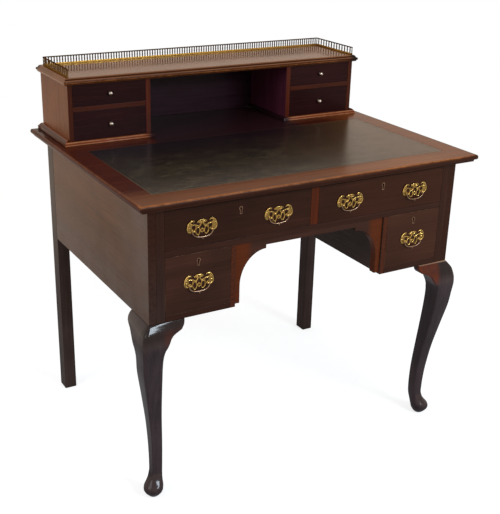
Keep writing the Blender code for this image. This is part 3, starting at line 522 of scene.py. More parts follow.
def wire(bm, points, radii, sides, closed=False, flat=1.0):
    """A round wire along points. flat scales its depth along Y."""
    count = len(points)
    rings = []
    for index, point in enumerate(points):
        if closed:
            ahead, behind = points[(index + 1) % count], points[index - 1]
        else:
            ahead, behind = points[min(index + 1, count - 1)], points[max(index - 1, 0)]
        along = (Vector(ahead) - Vector(behind)).normalized()
        side = along.cross(Vector((0, 1, 0))).normalized()
        out = side.cross(along) * flat
        rings.append(circle(Vector(point), side * radii[index], out * radii[index], sides))
    if closed:
        rings.append(rings[0])
    rows = skin(bm, rings, capped=not closed)
    if closed:
        bmesh.ops.remove_doubles(bm, verts=rows[0] + rows[-1], dist=0.001 * MM)


# Camera, light and floor. The camera's place in metres, angles in degrees and lens were solved from the photograph

CAMERA_PLACE = (-1.1719, -1.9866, 1.3728)
CAMERA_ANGLES = (-30.8252, -22.1747, 1.5861)
CAMERA_LENS = 67.145
FLOOR_HALF = 3
FLOOR_GLOW, FLOOR_GLOW_MIRRORED = 0.74, 0.0
DESK_LIGHT = 0.5
WARM_REFLECTION = (1, 0.84, 0.7)


def make_camera():
    yaw, pitch, roll = (math.radians(angle) for angle in CAMERA_ANGLES)
    turn = Matrix.Rotation(yaw, 4, "Z") @ Matrix.Rotation(math.pi / 2 + pitch, 4, "X") @ Matrix.Rotation(roll, 4, "Z")
    data = bpy.data.cameras.new("camera")
    data.lens = CAMERA_LENS
    data.sensor_width = 36.0
    data.sensor_fit = "HORIZONTAL"
    camera = linked("camera", data)
    camera.matrix_world = Matrix.Translation(CAMERA_PLACE) @ turn
    bpy.context.scene.camera = camera


def make_lamp(name, place, target, size, power, colour=WHITE):
    data = bpy.data.lights.new(name, "AREA")
    data.shape = "RECTANGLE"
    data.size, data.size_y = size
    data.energy = power
    data.color = colour
    lamp = linked(name, data)
    lamp.location = place
    lamp.rotation_euler = (Vector(target) - Vector(place)).to_track_quat("-Z", "Y").to_euler()


def make_world():
    """White to the camera and in glass, pale and warm in reflections, and a gentle level on the desk."""
    world = bpy.data.worlds.new("studio")
    bpy.context.scene.world = world
    world.use_nodes = True
    nodes, links = world.node_tree.nodes, world.node_tree.links
    path = nodes.new("ShaderNodeLightPath").outputs
    shown = None
    for ray, colour, strength in (
        (None, WHITE, DESK_LIGHT), ("Is Glossy Ray", WARM_REFLECTION, 1.0), ("Is Transmission Ray", WHITE, 1.0),
        ("Is Camera Ray", WHITE, 1.0),
    ):
        background = nodes.new("ShaderNodeBackground")
        background.inputs["Color"].default_value = (*colour, 1.0)
        background.inputs["Strength"].default_value = strength
        latest = background.outputs[0]
        if ray:
            mix = nodes.new("ShaderNodeMixShader")
            for socket, value in zip(mix.inputs, (path[ray], shown, latest)):
                links.new(value, socket)
            latest = mix.outputs[0]
        shown = latest
    links.new(shown, nodes["World Output"].inputs["Surface"])


def make_floor():
    """A pale floor round the desk that fades into the white background and keeps the desk's shadow."""
    mesh = bpy.data.meshes.new("floor")
    corners = [(x * FLOOR_HALF, y * FLOOR_HALF, 0) for x, y in ((-1, -1), (1, -1), (1, 1), (-1, 1))]
    mesh.from_pydata(corners, [], [(0, 1, 2, 3)])
    linked("floor", mesh)
    tree = Tree("floor_paint")
    mesh.materials.append(tree.material)
    coords = tree.add("TexCoord").outputs["Object"]
    colour = tree.mix(tree.spread(tree.noise(coords, 40.0)), (0.48, 0.48, 0.48), (0.52, 0.52, 0.52))
    path = tree.add("LightPath").outputs
    mirrored_ray = tree.math("MAXIMUM", path["Is Glossy Ray"], path["Is Transmission Ray"])
    glow = tree.times(mirrored_ray, FLOOR_GLOW_MIRRORED)
    glow = tree.math("MULTIPLY_ADD", path["Is Camera Ray"], FLOOR_GLOW, glow)
    tree.set(Base_Color=colour, Roughness=0.9, Emission_Color=(*WHITE, 1.0), Emission_Strength=glow)
    tree.set(Specular_IOR_Level=0.0)
    reach = tree.add("VectorMath", {0: coords}, operation="LENGTH").outputs["Value"]
    clear = tree.add("BsdfTransparent").outputs[0]
    blend = tree.first("MixShader", tree.remap(reach, 1.1, 2.2), tree.shader.outputs[0], clear)
    tree.links.new(blend, tree.nodes["Material Output"].inputs["Surface"])


# Materials. The grain's tones are dark, middle and light

DARK = ((0.022, 0.0065, 0.0035), (0.03, 0.0085, 0.0045), (0.04, 0.012, 0.0065))
LOWER = ((0.034, 0.0115, 0.0065), (0.044, 0.0155, 0.009), (0.056, 0.02, 0.012))
DEEP = ((0.016, 0.0035, 0.004), (0.022, 0.0045, 0.005), (0.03, 0.007, 0.007))
INNER = ((0.014, 0.006, 0.008), (0.022, 0.009, 0.012), (0.032, 0.013, 0.016))
PARTITION = ((0.07, 0.015, 0.03), (0.094, 0.02, 0.04), (0.12, 0.029, 0.053))
BACK = ((0.026, 0.012, 0.008), (0.038, 0.017, 0.011), (0.052, 0.024, 0.016))
RED = ((0.036, 0.0125, 0.0075), (0.049, 0.017, 0.0105), (0.066, 0.023, 0.014))
BROWN = ((0.046, 0.0065, 0.0025), (0.066, 0.0105, 0.0045), (0.09, 0.017, 0.008))
SHELF = ((0.16, 0.064, 0.028), (0.2, 0.08, 0.036), (0.24, 0.1, 0.047))
# SIDE is far lighter than the front's tones: painted light on the side panels, which face the lamp at the left.
SIDE = ((0.08, 0.028, 0.009), (0.112, 0.042, 0.015), (0.142, 0.056, 0.022))
END = ((0.135, 0.036, 0.008), (0.18, 0.052, 0.013), (0.215, 0.068, 0.02))
PLINTH = ((0.16, 0.03, 0.008), (0.205, 0.043, 0.012), (0.25, 0.058, 0.017))
LEG = ((0.026, 0.015, 0.017), (0.041, 0.025, 0.027), (0.057, 0.036, 0.037))
GREY = ((0.038, 0.022, 0.017), (0.052, 0.031, 0.025), (0.068, 0.041, 0.034))

STILE_EDGE = (0.034, 0.0095, 0.005)
STILE_LOW = (0.042, 0.021, 0.016)
FADED = ((0.148, 0.04, 0.01), (0.265, 0.08, 0.021), (0.195, 0.05, 0.012))
ORANGE = (0.4, 0.135, 0.042)

TOP_WOOD = wood(
    "top", "X", BROWN, 0.18, 0.05, ORANGE, 0.05, edge=(0.042, 0.014, 0.008), faded=FADED, compartment_shade=0.078,
    right=(0.444, (0.055, 0.025, 0.012)),
)
SHELF_WOOD = wood(
    "shelf", "X", SHELF, 0.14, 0.06, ORANGE, 0.05, edge=(0.042, 0.009, 0.002), right=(0.408, (0.02, 0.01, 0.007)),
)
SIDE_WOOD = wood("side_grain", "Y", SIDE, 0.28, 0.1, edge=STILE_EDGE, edge_low=STILE_LOW, dust_and_sheen=(0.15, 0.116, 0.1))
END_WOOD = wood("end_grain", "Z", END, 0.28, 0.06, edge=(0.06, 0.014, 0.007))
RAIL_WOOD = wood("rail", "X", INNER, edge=(0.036, 0.0105, 0.006))
DIVIDER_WOOD = wood("divider", "X", INNER, edge=(0.056, 0.01, 0.004))
PANEL_WOOD = wood("inner", "Y", GREY, 0.24, edge=(0.07, 0.015, 0.005))
STILE_WOOD = wood("stile", "Z", INNER, edge=STILE_EDGE, edge_low=STILE_LOW)
DIVISION_WOOD = wood("division", "Z", INNER, edge=(0.078, 0.012, 0.002))
PARTITION_WOOD = wood("partition", "Z", PARTITION, edge=(0.078, 0.013, 0.005))
APRON_WOOD = wood("apron", "X", RED, bracket=(0.098, 0.018, 0.003))
LEG_WOOD = wood("leg", "Z", LEG, 0.14, 0.24, (0.125, 0.016, 0.0005), 0.015, ears=True)
BACK_LEG_WOOD = wood("back_leg", "Z", GREY, 0.24, 0.08)
BACK_WOOD = wood("back_board", "X", BACK, 0.3, edge=(0.02, 0.0065, 0.0115))
# The plinth's bright orange worn tone on its rounds is partly wear and partly painted highlight.
PLINTH_WOOD = wood("plinth", "X", PLINTH, 0.16, 0.12, (0.52, 0.24, 0.11), compartment_shade=0.1, left=(0.06, 0.013, 0.004))
FRIEZE_DRAWER_WOOD = drawer_wood("drawer_wood", -0.309, 0.019, 0.0305, DARK)
LOWER_DRAWER_WOOD = drawer_wood("lower_drawer_wood", -0.309, 0.019, 0.0305, LOWER)
SMALL_DRAWER_WOOD = drawer_wood("small_drawer_wood", 0.1503, 0.012, 0.0165, DEEP, 0.0, 0.07)
LEATHER = leather()
PLATE_BRASS = metal("plate_brass", (0.8, 0.57, 0.19), (0.04, 0.014, 0.004))
BAIL_BRASS = metal("bail_brass", (0.42, 0.29, 0.2), (0.1, 0.055, 0.035), 0.12, 0.2)
THREAD_BRASS = metal("thread_brass", (0.34, 0.21, 0.15), (0.08, 0.045, 0.03), 0.35, 0.1)
# DARK_BRASS and BROWN_BRASS: tarnished, and darker still as painted shade for dim surroundings they would reflect.
DARK_BRASS = metal("dark_brass", (0.085, 0.05, 0.024), (0.035, 0.02, 0.01), 0.5, 0.1, (0.1, 0.06, 0.03))
BROWN_BRASS = metal("brown_brass", (0.15, 0.088, 0.04), (0.06, 0.034, 0.016), 0.4, 0.1, (0.2, 0.13, 0.08))
DULL_BRASS = metal("dull_brass", (0.26, 0.16, 0.06), (0.1, 0.055, 0.022), 0.35, 0.1, (0.4, 0.3, 0.2))
RAIL_BRASS = metal("rail_brass", (0.52, 0.31, 0.065), (0.2, 0.1, 0.022), 0.3, rim=(0.5, 0.35, 0.15))
SILVER = metal("silvered_knob", (0.5, 0.46, 0.41), (0.09, 0.075, 0.065), 0.26)


# Writing top, leather, shelf and plinths. Profiles are inset and height in millimetres, and wear or tooling

TOP_PROFILE = (
    (8.2, 0, 0), (7.6, 0.3, 0), (7, 0.9, 0), (6.7, 4.9, 0), (6.3, 5.6, 0), (2.6, 6.3, 0),
    (1.3, 7, 0), (0.5, 8.3, 0), (0.1, 9.9, 0), (0, 11.6, 0), (0.1, 13.4, 0.05), (0.5, 15, 0.15),
    (1.2, 16.3, 0.55), (1.9, 17.1, 1), (2.8, 17.6, 1), (3.8, 17.9, 0.7), (5.2, 18, 0.3), (9, 18, 0),
)
REBATE_PROFILE = ((-0.9, 0, 0), (-0.35, -0.05, 0.5), (0, -0.3, 0.3), (0, -1.8, 0))
LEATHER_PROFILE = (
    (0, -1.4, 0), (0, -0.5, 0), (0.15, -0.15, 0.4), (0.6, 0, 0.5), (1.4, 0, 0.25), (2.4, 0, 0),
    (11, 0, 0), (11.2, -0.12, 0.3), (11.9, -0.12, 0.3), (12.1, 0, 0),
)
SHELF_PROFILE = (
    (3.8, 0, 0), (3.3, 0.2, 0.2), (3, 0.8, 0.2), (2.9, 2.8, 0), (2.3, 3.4, 0), (0.9, 3.9, 0.3),
    (0.3, 4.8, 0.8), (0, 6.2, 0.5), (0, 7.6, 0.1), (0.3, 8.9, 0.05), (0.9, 9.8, 0.1), (2.4, 10.3, 0),
    (3.6, 10.7, 0), (4.4, 11.6, 0), (5, 12.9, 0), (5.8, 14.3, 0.05), (6.9, 15.5, 0.1), (8.2, 16.3, 0.25),
    (9.4, 16.7, 0.2), (10.6, 16.8, 0.1), (14, 16.8, 0),
)
# On the plinth the wear values are partly wear and partly painted highlight on the rounds.
PLINTH_PROFILE = (
    (0.7, 0, 0.4), (0.1, 0.3, 0.8), (0, 1, 0.8), (0, 2.2, 0.4), (0.4, 3.1, 0.1), (1.8, 3.5, 0),
    (1.9, 4.2, 0), (1.3, 4.8, 0), (1.2, 5.6, 0.1), (1.5, 6.4, 0.2), (2.1, 7.2, 0.6), (2.9, 7.9, 0.9),
    (3.9, 8.25, 0.7), (4.8, 8.3, 0.1), (6, 8.3, 0),
)
COVE_PROFILE = (
    (0, 1), (0, 3.2), (1.6, 3.6), (2.2, 4.3), (1.8, 5.2), (2, 6.6), (2.9, 8.2), (4.4, 9.8), (6.2, 11.2),
    (8, 12.2), (9.6, 12.9), (10.6, 13.3), (15, 13.3),
)
COVE_WEAR = 0.15


def make_writing_top_and_shelf():
    low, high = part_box("writing_top")
    skin_low, skin_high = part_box("leather_inset")
    play = Vector((GAP, GAP, 0))
    rings = moulded(low, high, low.z, TOP_PROFILE)
    rings += moulded(skin_low - play, skin_high + play, high.z, REBATE_PROFILE, 1.0)
    dress("writing_top_board", valued_skin("wear", rings), TOP_WOOD, "writing_top", 50, True)
    rings = moulded(skin_low, skin_high, skin_high.z, LEATHER_PROFILE, 0.7)
    dress("leather_skin", valued_skin("tooling", rings), LEATHER, "leather_inset", 60, True)
    low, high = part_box("shelf")
    rings = moulded(low, high, low.z, SHELF_PROFILE)
    dress("shelf_board", valued_skin("wear", rings), SHELF_WOOD, "shelf", 50, True)


def outer_face(node):
    """How far a node at the left or right reaches from the desk's middle."""
    low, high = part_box(node)
    return max(-low.x, high.x)


def make_plinths():
    """A moulded board under the small drawers, a bold moulding outside the end panel, and a block that joins them."""
    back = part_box("stage_back")[0].y
    for side, sign in SIDES:
        node = f"plinth_{side}"
        low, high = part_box(node)
        panel, outer = outer_face(f"end_panel_{side}"), outer_face(node)
        bm = valued_skin("wear", moulded(low, (high.x, back - GAP), low.z, PLINTH_PROFILE))
        cove = [
            (max(outer - inset * MM, panel + GAP), low.y + inset * MM, low.z + height * MM)
            for inset, height in COVE_PROFILE
        ]
        cove.append((panel + GAP, cove[-1][1], low.z + 1.0 * MM))
        rows = skin(bm, ([(sign * x, y, z) for x, y, z in cove], [(sign * x, high.y, z) for x, _, z in cove]))
        layer = bm.verts.layers.float["wear"]
        for vert in rows[0][:-1]:
            vert[layer] = COVE_WEAR
        inner_x, outer_x = sorted((sign * (panel - 12 * MM), sign * (outer - 0.1 * MM)))
        block(bm, Vector((inner_x, back - 2 * MM, low.z + 0.1 * MM)), Vector((outer_x, high.y, low.z + 8.1 * MM)))
        dress(f"{node}_moulding", bm, PLINTH_WOOD, node, 45)


# Kneehole apron and boards

BRACKET_WIDTH = 0.0135
STRIP_DEPTH = 0.0145
ARCH_SHOULDER = 0.0089
ARCH_WIDTH, ARCH_RISE = 0.068, 0.0806
ARCH_STEPS = 40

# Stem of the names, material, slot, how wide the arrises are eased in millimetres, and how worn they are
PAIRED_BOARDS = (
    ("side_panel", SIDE_WOOD, "mahogany_side", 0.5), ("front_stile", STILE_WOOD, "mahogany_red", 0.25),
    ("pedestal_panel", PANEL_WOOD, "mahogany_red", 0.6), ("pedestal_bottom", RAIL_WOOD, "mahogany_red", 0.6),
    ("back_leg", BACK_LEG_WOOD, "mahogany", 1.2), ("partition", PARTITION_WOOD, "mahogany_red", 0.6),
    ("divider", DIVIDER_WOOD, "mahogany_red", 0.6), ("end_panel", END_WOOD, "mahogany_side", 0.8),
    ("frieze_drawer", FRIEZE_DRAWER_WOOD, "mahogany_dark", 0.5, 0.3),
    ("pedestal_drawer", LOWER_DRAWER_WOOD, "mahogany_dark", 0.6, 1.0),
    ("small_drawer_lower", SMALL_DRAWER_WOOD, "mahogany_dark", 0.5, 0.2),
    ("small_drawer_upper", SMALL_DRAWER_WOOD, "mahogany_dark", 0.5, 0.2),
    ("frieze_lock", THREAD_BRASS, "brass", 0.3), ("pedestal_lock", THREAD_BRASS, "brass", 0.3),
)
SINGLE_BOARDS = (
    ("top_rail", RAIL_WOOD, "mahogany_red", 0.4), ("centre_division", DIVISION_WOOD, "mahogany_red", 0.5),
    ("frieze_board", RAIL_WOOD, "mahogany_red", 0.5), ("case_back", BACK_WOOD, "mahogany_dark", 0.5),
    ("stage_back", BACK_WOOD, "mahogany_dark", 0.5),
)


def make_apron():
    low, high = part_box("kneehole_apron")
    outer = high.x
    inner = outer - BRACKET_WIDTH
    strip = high.z - STRIP_DEPTH
    shoulder = inner - ARCH_WIDTH
    spring = strip - ARCH_SHOULDER - ARCH_RISE
    half = [(0.0, strip), (shoulder, strip), (shoulder, strip - ARCH_SHOULDER)]
    for step in range(1, ARCH_STEPS + 1):
        angle = math.pi / 2 * (1 - step / ARCH_STEPS)
        half.append((shoulder + ARCH_WIDTH * math.cos(angle), spring + ARCH_RISE * math.sin(angle)))
    half += [(inner, low.z), (outer, low.z), (outer, high.z)]
    bm = bmesh.new()
    front = bm.faces.new([bm.verts.new((x, low.y, z)) for x, z in mirrored(half)])
    back = bmesh.ops.extrude_face_region(bm, geom=[front])["geom"]
    moved = [item for item in back if isinstance(item, bmesh.types.BMVert)]
    bmesh.ops.translate(bm, vec=(0, high.y - low.y, 0), verts=moved)
    bmesh.ops.recalc_face_normals(bm, faces=bm.faces)
    bevel(bm, [edge for edge in bm.edges if max(vert.co.y for vert in edge.verts) < low.y + MM], 0.8)
    dress("kneehole_apron_board", bm, APRON_WOOD, "kneehole_apron", weighted=True)


def ease_boards():
    for side, _ in SIDES:
        for stem, *finish in PAIRED_BOARDS:
            eased(f"{stem}_{side}", *finish)
    for node, *finish in SINGLE_BOARDS:
        eased(node, *finish)


# Cabriole legs, from the ears down: height, how far the knee stands proud of the case's corner and how far the ends
# of its ears do, the lengths of the front ear and of the side ear from that corner, all in millimetres, and how round
# the knee's edge and the other edges are

EAR_SECTIONS = (
    (459.7, 0.6, 0.5, 87, 96, 0.08, 0.06), (458.9, 1.9, 0.7, 87.2, 97, 0.1, 0.06),
    (457.5, 3.4, 1.2, 87.4, 98, 0.11, 0.06), (456, 4.8, 1.8, 87.5, 99, 0.12, 0.06),
    (452, 8.2, 3.3, 87.2, 100.5, 0.15, 0.06), (448, 11.5, 4.8, 86.5, 101.2, 0.17, 0.06),
    (444, 14.5, 6.3, 85, 101.5, 0.19, 0.07), (440, 16.8, 7.9, 82, 99.5, 0.21, 0.08),
    (437, 17.8, 9.2, 79, 97, 0.22, 0.08), (432, 19.1, 11.3, 66.5, 88, 0.24, 0.1),
    (427, 20.1, 13.6, 57, 76, 0.26, 0.12), (420.7, 21.1, 16.2, 50.5, 65, 0.26, 0.14),
    (413.7, 21.5, 18.5, 46.5, 55, 0.26, 0.16), (405, 21.4, 20, 41, 45.5, 0.25, 0.18),
    (395.3, 20.6, 20.4, 34.4, 34.8, 0.24, 0.2), (374.7, 18.2, 18, 31, 30.4, 0.22, 0.22),
)

# Below them: height, how far the leg stands proud, its width, and how round its edges are
SHANK_SECTIONS = (
    (335.6, 14.2, 31.4, 0.22), (280.4, 4.3, 34.3, 0.22), (209.2, -7.7, 38.9, 0.24), (144.8, -15.1, 42.7, 0.24),
    (101.1, -17.8, 43.8, 0.26), (75.9, -18.2, 43.8, 0.3), (62, -17.8, 43.6, 0.35), (54, -15.8, 43.4, 0.45),
    (45, -11.5, 43.3, 0.7), (36, -4.6, 43.4, 0.88), (28, 2.2, 43.4, 0.98), (21, 4.4, 42.4, 1),
    (15, 3.4, 41, 1), (9.5, -0.1, 38.1, 1), (4.5, -4.8, 34.4, 1), (1.2, -8.1, 30.9, 1),
    (0, -9.8, 29, 1),
)

# By height: how far the left leg spreads outwards, how much thicker the right one is, how much less proud the end of
# the front ear is, and how far the leg's inner rear corner reaches from the case's corner
LEFT_SPLAY = ((0, 6.2), (240, 5.8), (350, 4.6), (380, 3.2), (440, 1), (459.7, 0))
RIGHT_SWELL = ((0, 0.4), (40, 0.8), (80, 1.3), (395, 1.3), (440, 0.5), (459.7, 0))
FRONT_EAR_DIP = (
    (395.3, 0), (405, 0.2), (413.7, 0.9), (420.7, 1.6), (427, 2.2), (432, 2.6), (437, 2.8), (444, 2.8),
    (448, 2.6), (452, 2), (456, 1), (457.5, 0.6), (458.9, 0.2), (459.7, 0),
)
CORE = (
    (0, 60), (335.6, 60), (374.7, 32), (389, 32.5), (399, 34.5), (409, 37.5), (418, 41),
    (427, 47), (432, 60), (440, 110),
)

ARC_STEPS = 8
HOLLOWS = ((0.044, 0.02), (0.022, 0.044))
HOLLOW_WIDTH, HOLLOW_DEPTH, HOLLOW_HEIGHT = 0.15, 0.11, 0.05


def between(table, key):
    """The value at a key in a table of pairs, on straight lines between them."""
    for (low, first), (high, last) in zip(table, table[1:]):
        if key <= high:
            return first + (last - first) * max(key - low, 0.0) / (high - low)
    return table[-1][1]


def leg_ring(section, sign, corner):
    """A four-sided section with round corners, which the knee's corner and the ends of the ears span."""
    height = max(section[0], 0.0)
    splay = between(LEFT_SPLAY, height) if sign < 0 else 0.0
    swell = between(RIGHT_SWELL, height) if sign > 0 else 0.0
    proud, end_proud, front_ear, side_ear = (length + swell for length in section[1:5])
    knee_round, end_round = section[5:]
    core = between(CORE, height)
    knee, front_end = Vector((proud, -proud)), Vector((-front_ear, between(FRONT_EAR_DIP, height) - end_proud))
    side_end, inner = Vector((end_proud, side_ear)), Vector((-min(front_ear, core), min(side_ear, core)))
    points = []
    for quarter in range(4):
        roundness = min(knee_round if quarter == 3 else end_round, 1.0)
        start = quarter * math.pi / 2
        heart = Vector((math.cos(start + math.pi / 4), math.sin(start + math.pi / 4))) * (1 - roundness) * math.sqrt(2)
        for step in range(ARC_STEPS + 1):
            angle = start + math.pi / 2 * step / ARC_STEPS
            out = (heart.x + roundness * math.cos(angle) + 1) / 2
            back = (heart.y + roundness * math.sin(angle) + 1) / 2
            spot = front_end.lerp(knee, out).lerp(inner.lerp(side_end, out), back)
            points.append((sign * (corner.x + (spot.x + splay) * MM), corner.y + spot.y * MM, height * MM))
    return points


def carve(bm, sign, corner, top):
    """The leg without what lies behind its two ears."""
    bmesh.ops.recalc_face_normals(bm, faces=bm.faces)
    leg = mesh_object("leg_block", bm)
    tools = []
    for from_side, from_front in HOLLOWS:
        low_x, high_x = sorted((sign * (corner.x - HOLLOW_WIDTH), sign * (corner.x - from_side)))
        cube = bmesh.new()
        block(cube, Vector((low_x, corner.y + from_front, top - HOLLOW_HEIGHT)),
              Vector((high_x, corner.y + HOLLOW_DEPTH, top + 2 * MM)))
        tools.append(mesh_object("hollow", cube))
        modifier = leg.modifiers.new("hollow", "BOOLEAN")
        modifier.object = tools[-1]
        modifier.operation = "DIFFERENCE"
    carved = bmesh.new()
    carved.from_mesh(evaluated(leg).to_mesh())
    for obj in (leg, *tools):
        bpy.data.objects.remove(obj, do_unlink=True)
    return carved


def make_legs():
    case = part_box("side_panel_right")
    corner = Vector((case[1].x, case[0].y, 0))
    sections = list(EAR_SECTIONS)
    for height, proud, width, roundness in SHANK_SECTIONS:
        sections.append((height, proud, proud, width, width, roundness, roundness))
    for side, sign in SIDES:
        node = f"cabriole_leg_{side}"
        bm = bmesh.new()
        skin(bm, [leg_ring(section, sign, corner) for section in smooth_line(sections, 4)])
        dress(f"{node}_carved", carve(bm, sign, corner, case[0].z), LEG_WOOD, node, 35)


# Brass handles. Lengths are millimetres from the handle's middle: X to the right and Z up

OUTLINE = (
    (0, -11), (2.4, -9.4), (4.4, -9.4), (5.4, -12), (7, -15), (9.6, -16.4), (13.2, -15.2), (16, -11.6),
    (17.6, -6), (17.4, -0.6), (16.4, 3.2), (16.4, 6.8), (18.8, 8.8), (22.4, 9.2), (24.4, 6.6), (24.4, 3),
    (22.6, 0), (19.6, -1.2), (18.6, -4.2), (20, -7.4), (23.2, -8.8), (27.4, -9.6), (31.8, -8.4), (35.2, -5.4),
    (36.8, -1), (36.4, 4), (34.8, 9), (33.6, 13.6), (31, 18.8), (27.2, 22.2), (23.2, 22.6), (19.6, 20.6),
    (17.8, 18.2), (19.4, 17), (21.8, 18.2), (24.6, 18.6), (26.2, 16.4), (24.6, 13.8), (21.2, 13), (16.6, 12),
    (12.4, 10.4), (9.2, 8.6), (6.6, 9.8), (4.8, 12.4), (8.2, 13.8), (12, 15.4), (11.4, 18.4), (8.2, 20.8),
    (4, 22), (0, 22.3),
)
OPENINGS = (
    ((0, 12.4), (2.4, 8.6), (4.8, 4.6), (6.4, 1), (5.6, -1.4), (2.8, 0), (0, 1.8)),
    ((0, -3), (2, -5.3), (0, -7.6)),
)
SIDE_OPENING = ((9.4, 2.2), (12.6, 0.8), (14.2, -3.6), (13.4, -9), (10.4, -12.8), (8.2, -11.6), (7.2, -7),
                (7.8, -1.6))
CROWN_RIM = ((12, 15.6), (10.4, 18.6), (7, 20.6), (3.4, 21.5), (0, 21.6))

# Height of the middle over the sheet's foot, radius, whether it closes, whether it tapers, and the lines
RELIEF = (
    (1.6, 0.85, True, False, (
        ((9, 4.2), (13.2, 2.8), (15.8, -2.4), (15.4, -8.4), (12.4, -13.4), (9.2, -14.4), (6.6, -11.8), (5.6, -7),
         (6.4, -1.2), (7.6, 2.4)),
    )),
    (1.6, 0.85, False, False, (
        ((1.2, 14), (3.4, 10.4), (5.8, 5.8), (7.6, 1.8)), ((0, -0.6), (4.4, -5.3), (0, -10.2)),
        ((7.4, 4.6), (10.2, 7.8), (14.8, 10), (19.4, 11), (24, 11.2), (27.6, 13.4), (28.6, 17), (26.4, 20.2),
         (23.4, 18.8)),
    )),
    (1.4, 1.2, False, True, (
        ((0, 13.98), (0, 17.32), (0, 20.338)), ((1.1, 13.86), (3, 16.84), (4.65, 19.222)),
        ((1.98, 13.62), (5.4, 15.88), (8.37, 16.99)),
    )),
    (1.3, 1.1, False, True, (
        ((27.4, 8.8), (30.4, 10.6), (33, 11.6)), ((27, 3.4), (30.6, 4.6), (34.4, 4.8)),
        ((24.8, -6.2), (28.6, -6.4), (32.8, -4)),
    )),
    (1.5, 1.6, False, True, (
        ((18.6, 18.6), (20.4, 21.4), (24, 22), (27.6, 21.2), (31, 17.8), (33.4, 13.2), (35, 8.4), (35.8, 3.6),
         (35.4, -1), (33, -5), (29.4, -7.2)),
    )),
)
POST_PROFILE = (
    (3.4, 0.9), (3.6, 1.4), (3.2, 2), (2.4, 2.6), (2.1, 3.3), (2.4, 4), (2.5, 5.2), (2.5, 6), (2.3, 6.7),
    (1.6, 7.2), (0, 7.45),
)
BOLT_PROFILE = ((2, 0.8), (2, -19.2))
NUT_PROFILE = ((4.2, -19.3), (4.5, -19.7), (4.5, -21.9), (4.2, -22.3))

# Half of the bail, with its radius, and the drop below its middle
BAIL = (
    (20.1, 0, 1), (22.4, 0, 1), (24.2, -0.2, 1), (25.2, -1.4, 1.05), (25.2, -3.6, 1.1), (24.2, -6.2, 1.2),
    (22.2, -9, 1.3), (19, -11.8, 1.4), (14.6, -13.8, 1.5), (9.6, -15, 1.6), (4.8, -15.6, 1.7), (0, -15.8, 1.7),
)
DROP_PROFILE = (
    (0, -21), (0.7, -20.8), (1.15, -20.2), (1.2, -19.5), (0.8, -18.8), (0.9, -18.3), (1.7, -17.6), (1.9, -16.8),
    (1.6, -15.8),
)
SHEET_HALF, SHEET_EASE = 0.2 * MM, 0.25 * MM
POST_X, POST_Z, BAIL_OUT = 22 * MM, -4 * MM, 5.5 * MM
PLATE_TOP = 22.5 * MM
PLATE_SQUASH, PLATE_DROP = 0.92, MM


def plate_sheet(loops):
    """A pierced sheet with softened edges, from outlines in millimetres, on the plane Y = 0."""
    curve = bpy.data.curves.new("plate_sheet", "CURVE")
    curve.dimensions = "2D"
    curve.fill_mode = "BOTH"
    curve.extrude = SHEET_HALF
    curve.bevel_depth = SHEET_EASE
    curve.bevel_resolution = 1
    curve.offset = -SHEET_EASE
    for loop in loops:
        spline = curve.splines.new("POLY")
        spline.points.add(len(loop) - 1)
        for point, (x, z) in zip(spline.points, loop):
            point.co = (x * MM, z * MM, 0, 1)
        spline.use_cyclic_u = True
    obj = linked("plate_sheet", curve)
    mesh = bpy.data.meshes.new_from_object(evaluated(obj))
    bpy.data.objects.remove(obj, do_unlink=True)
    mesh.transform(Matrix.Rotation(math.pi / 2, 4, "X"))
    return mesh


def strap(bm, points, height, radius, closed=False, taper=False):
    line = smooth_line(points, 4, closed)
    radii = []
    for index in range(len(line)):
        share = math.sin(math.pi * (0.12 + 0.76 * index / (len(line) - 1))) if taper else 1.0
        radii.append(radius * MM * share)
    wire(bm, [(x * MM, -height * MM, z * MM) for x, z in line], radii, 8, closed, flat=1.15)


def make_plate_mesh():
    loops = [smooth_line(mirrored(OUTLINE), 3, True)]
    loops += [smooth_line(mirrored(points), 4, True) for points in OPENINGS]
    loops.append(smooth_line(SIDE_OPENING, 4, True))
    loops.append([(-x, z) for x, z in reversed(loops[-1])])
    bm = bmesh.new()
    sheet = plate_sheet(loops)
    sheet.transform(Matrix.Translation((0, -GAP - SHEET_HALF - SHEET_EASE, 0)))
    bm.from_mesh(sheet)
    strap(bm, mirrored(CROWN_RIM), 1.6, 1.25, taper=True)
    for flip in (1, -1):
        for height, radius, closed, taper, lines in RELIEF:
            for points in lines:
                strap(bm, [(flip * x, z) for x, z in points], height, radius, closed, taper)
    for vert in bm.verts:
        vert.co.z = PLATE_SQUASH * vert.co.z - PLATE_DROP
    for x in (POST_X, -POST_X):
        turned(bm, POST_PROFILE, (x, -GAP, POST_Z), FORWARD, 18)
        turned(bm, BOLT_PROFILE, (x, 0, POST_Z), FORWARD, 12)
        turned(bm, NUT_PROFILE, (x, 0, POST_Z), FORWARD, 6)
    tarnish_near(bm, 0.0, 2.0, 1.1)
    bmesh.ops.recalc_face_normals(bm, faces=bm.faces)
    return bm


def make_bail_mesh():
    line = smooth_line(mirrored(BAIL), 4)
    bm = bmesh.new()
    wire(bm, [(x * MM, 0, z * MM) for x, z, _ in line], [radius * MM for _, _, radius in line], 12)
    turned(bm, DROP_PROFILE, (0, 0, 0), UP, 14)
    return bm


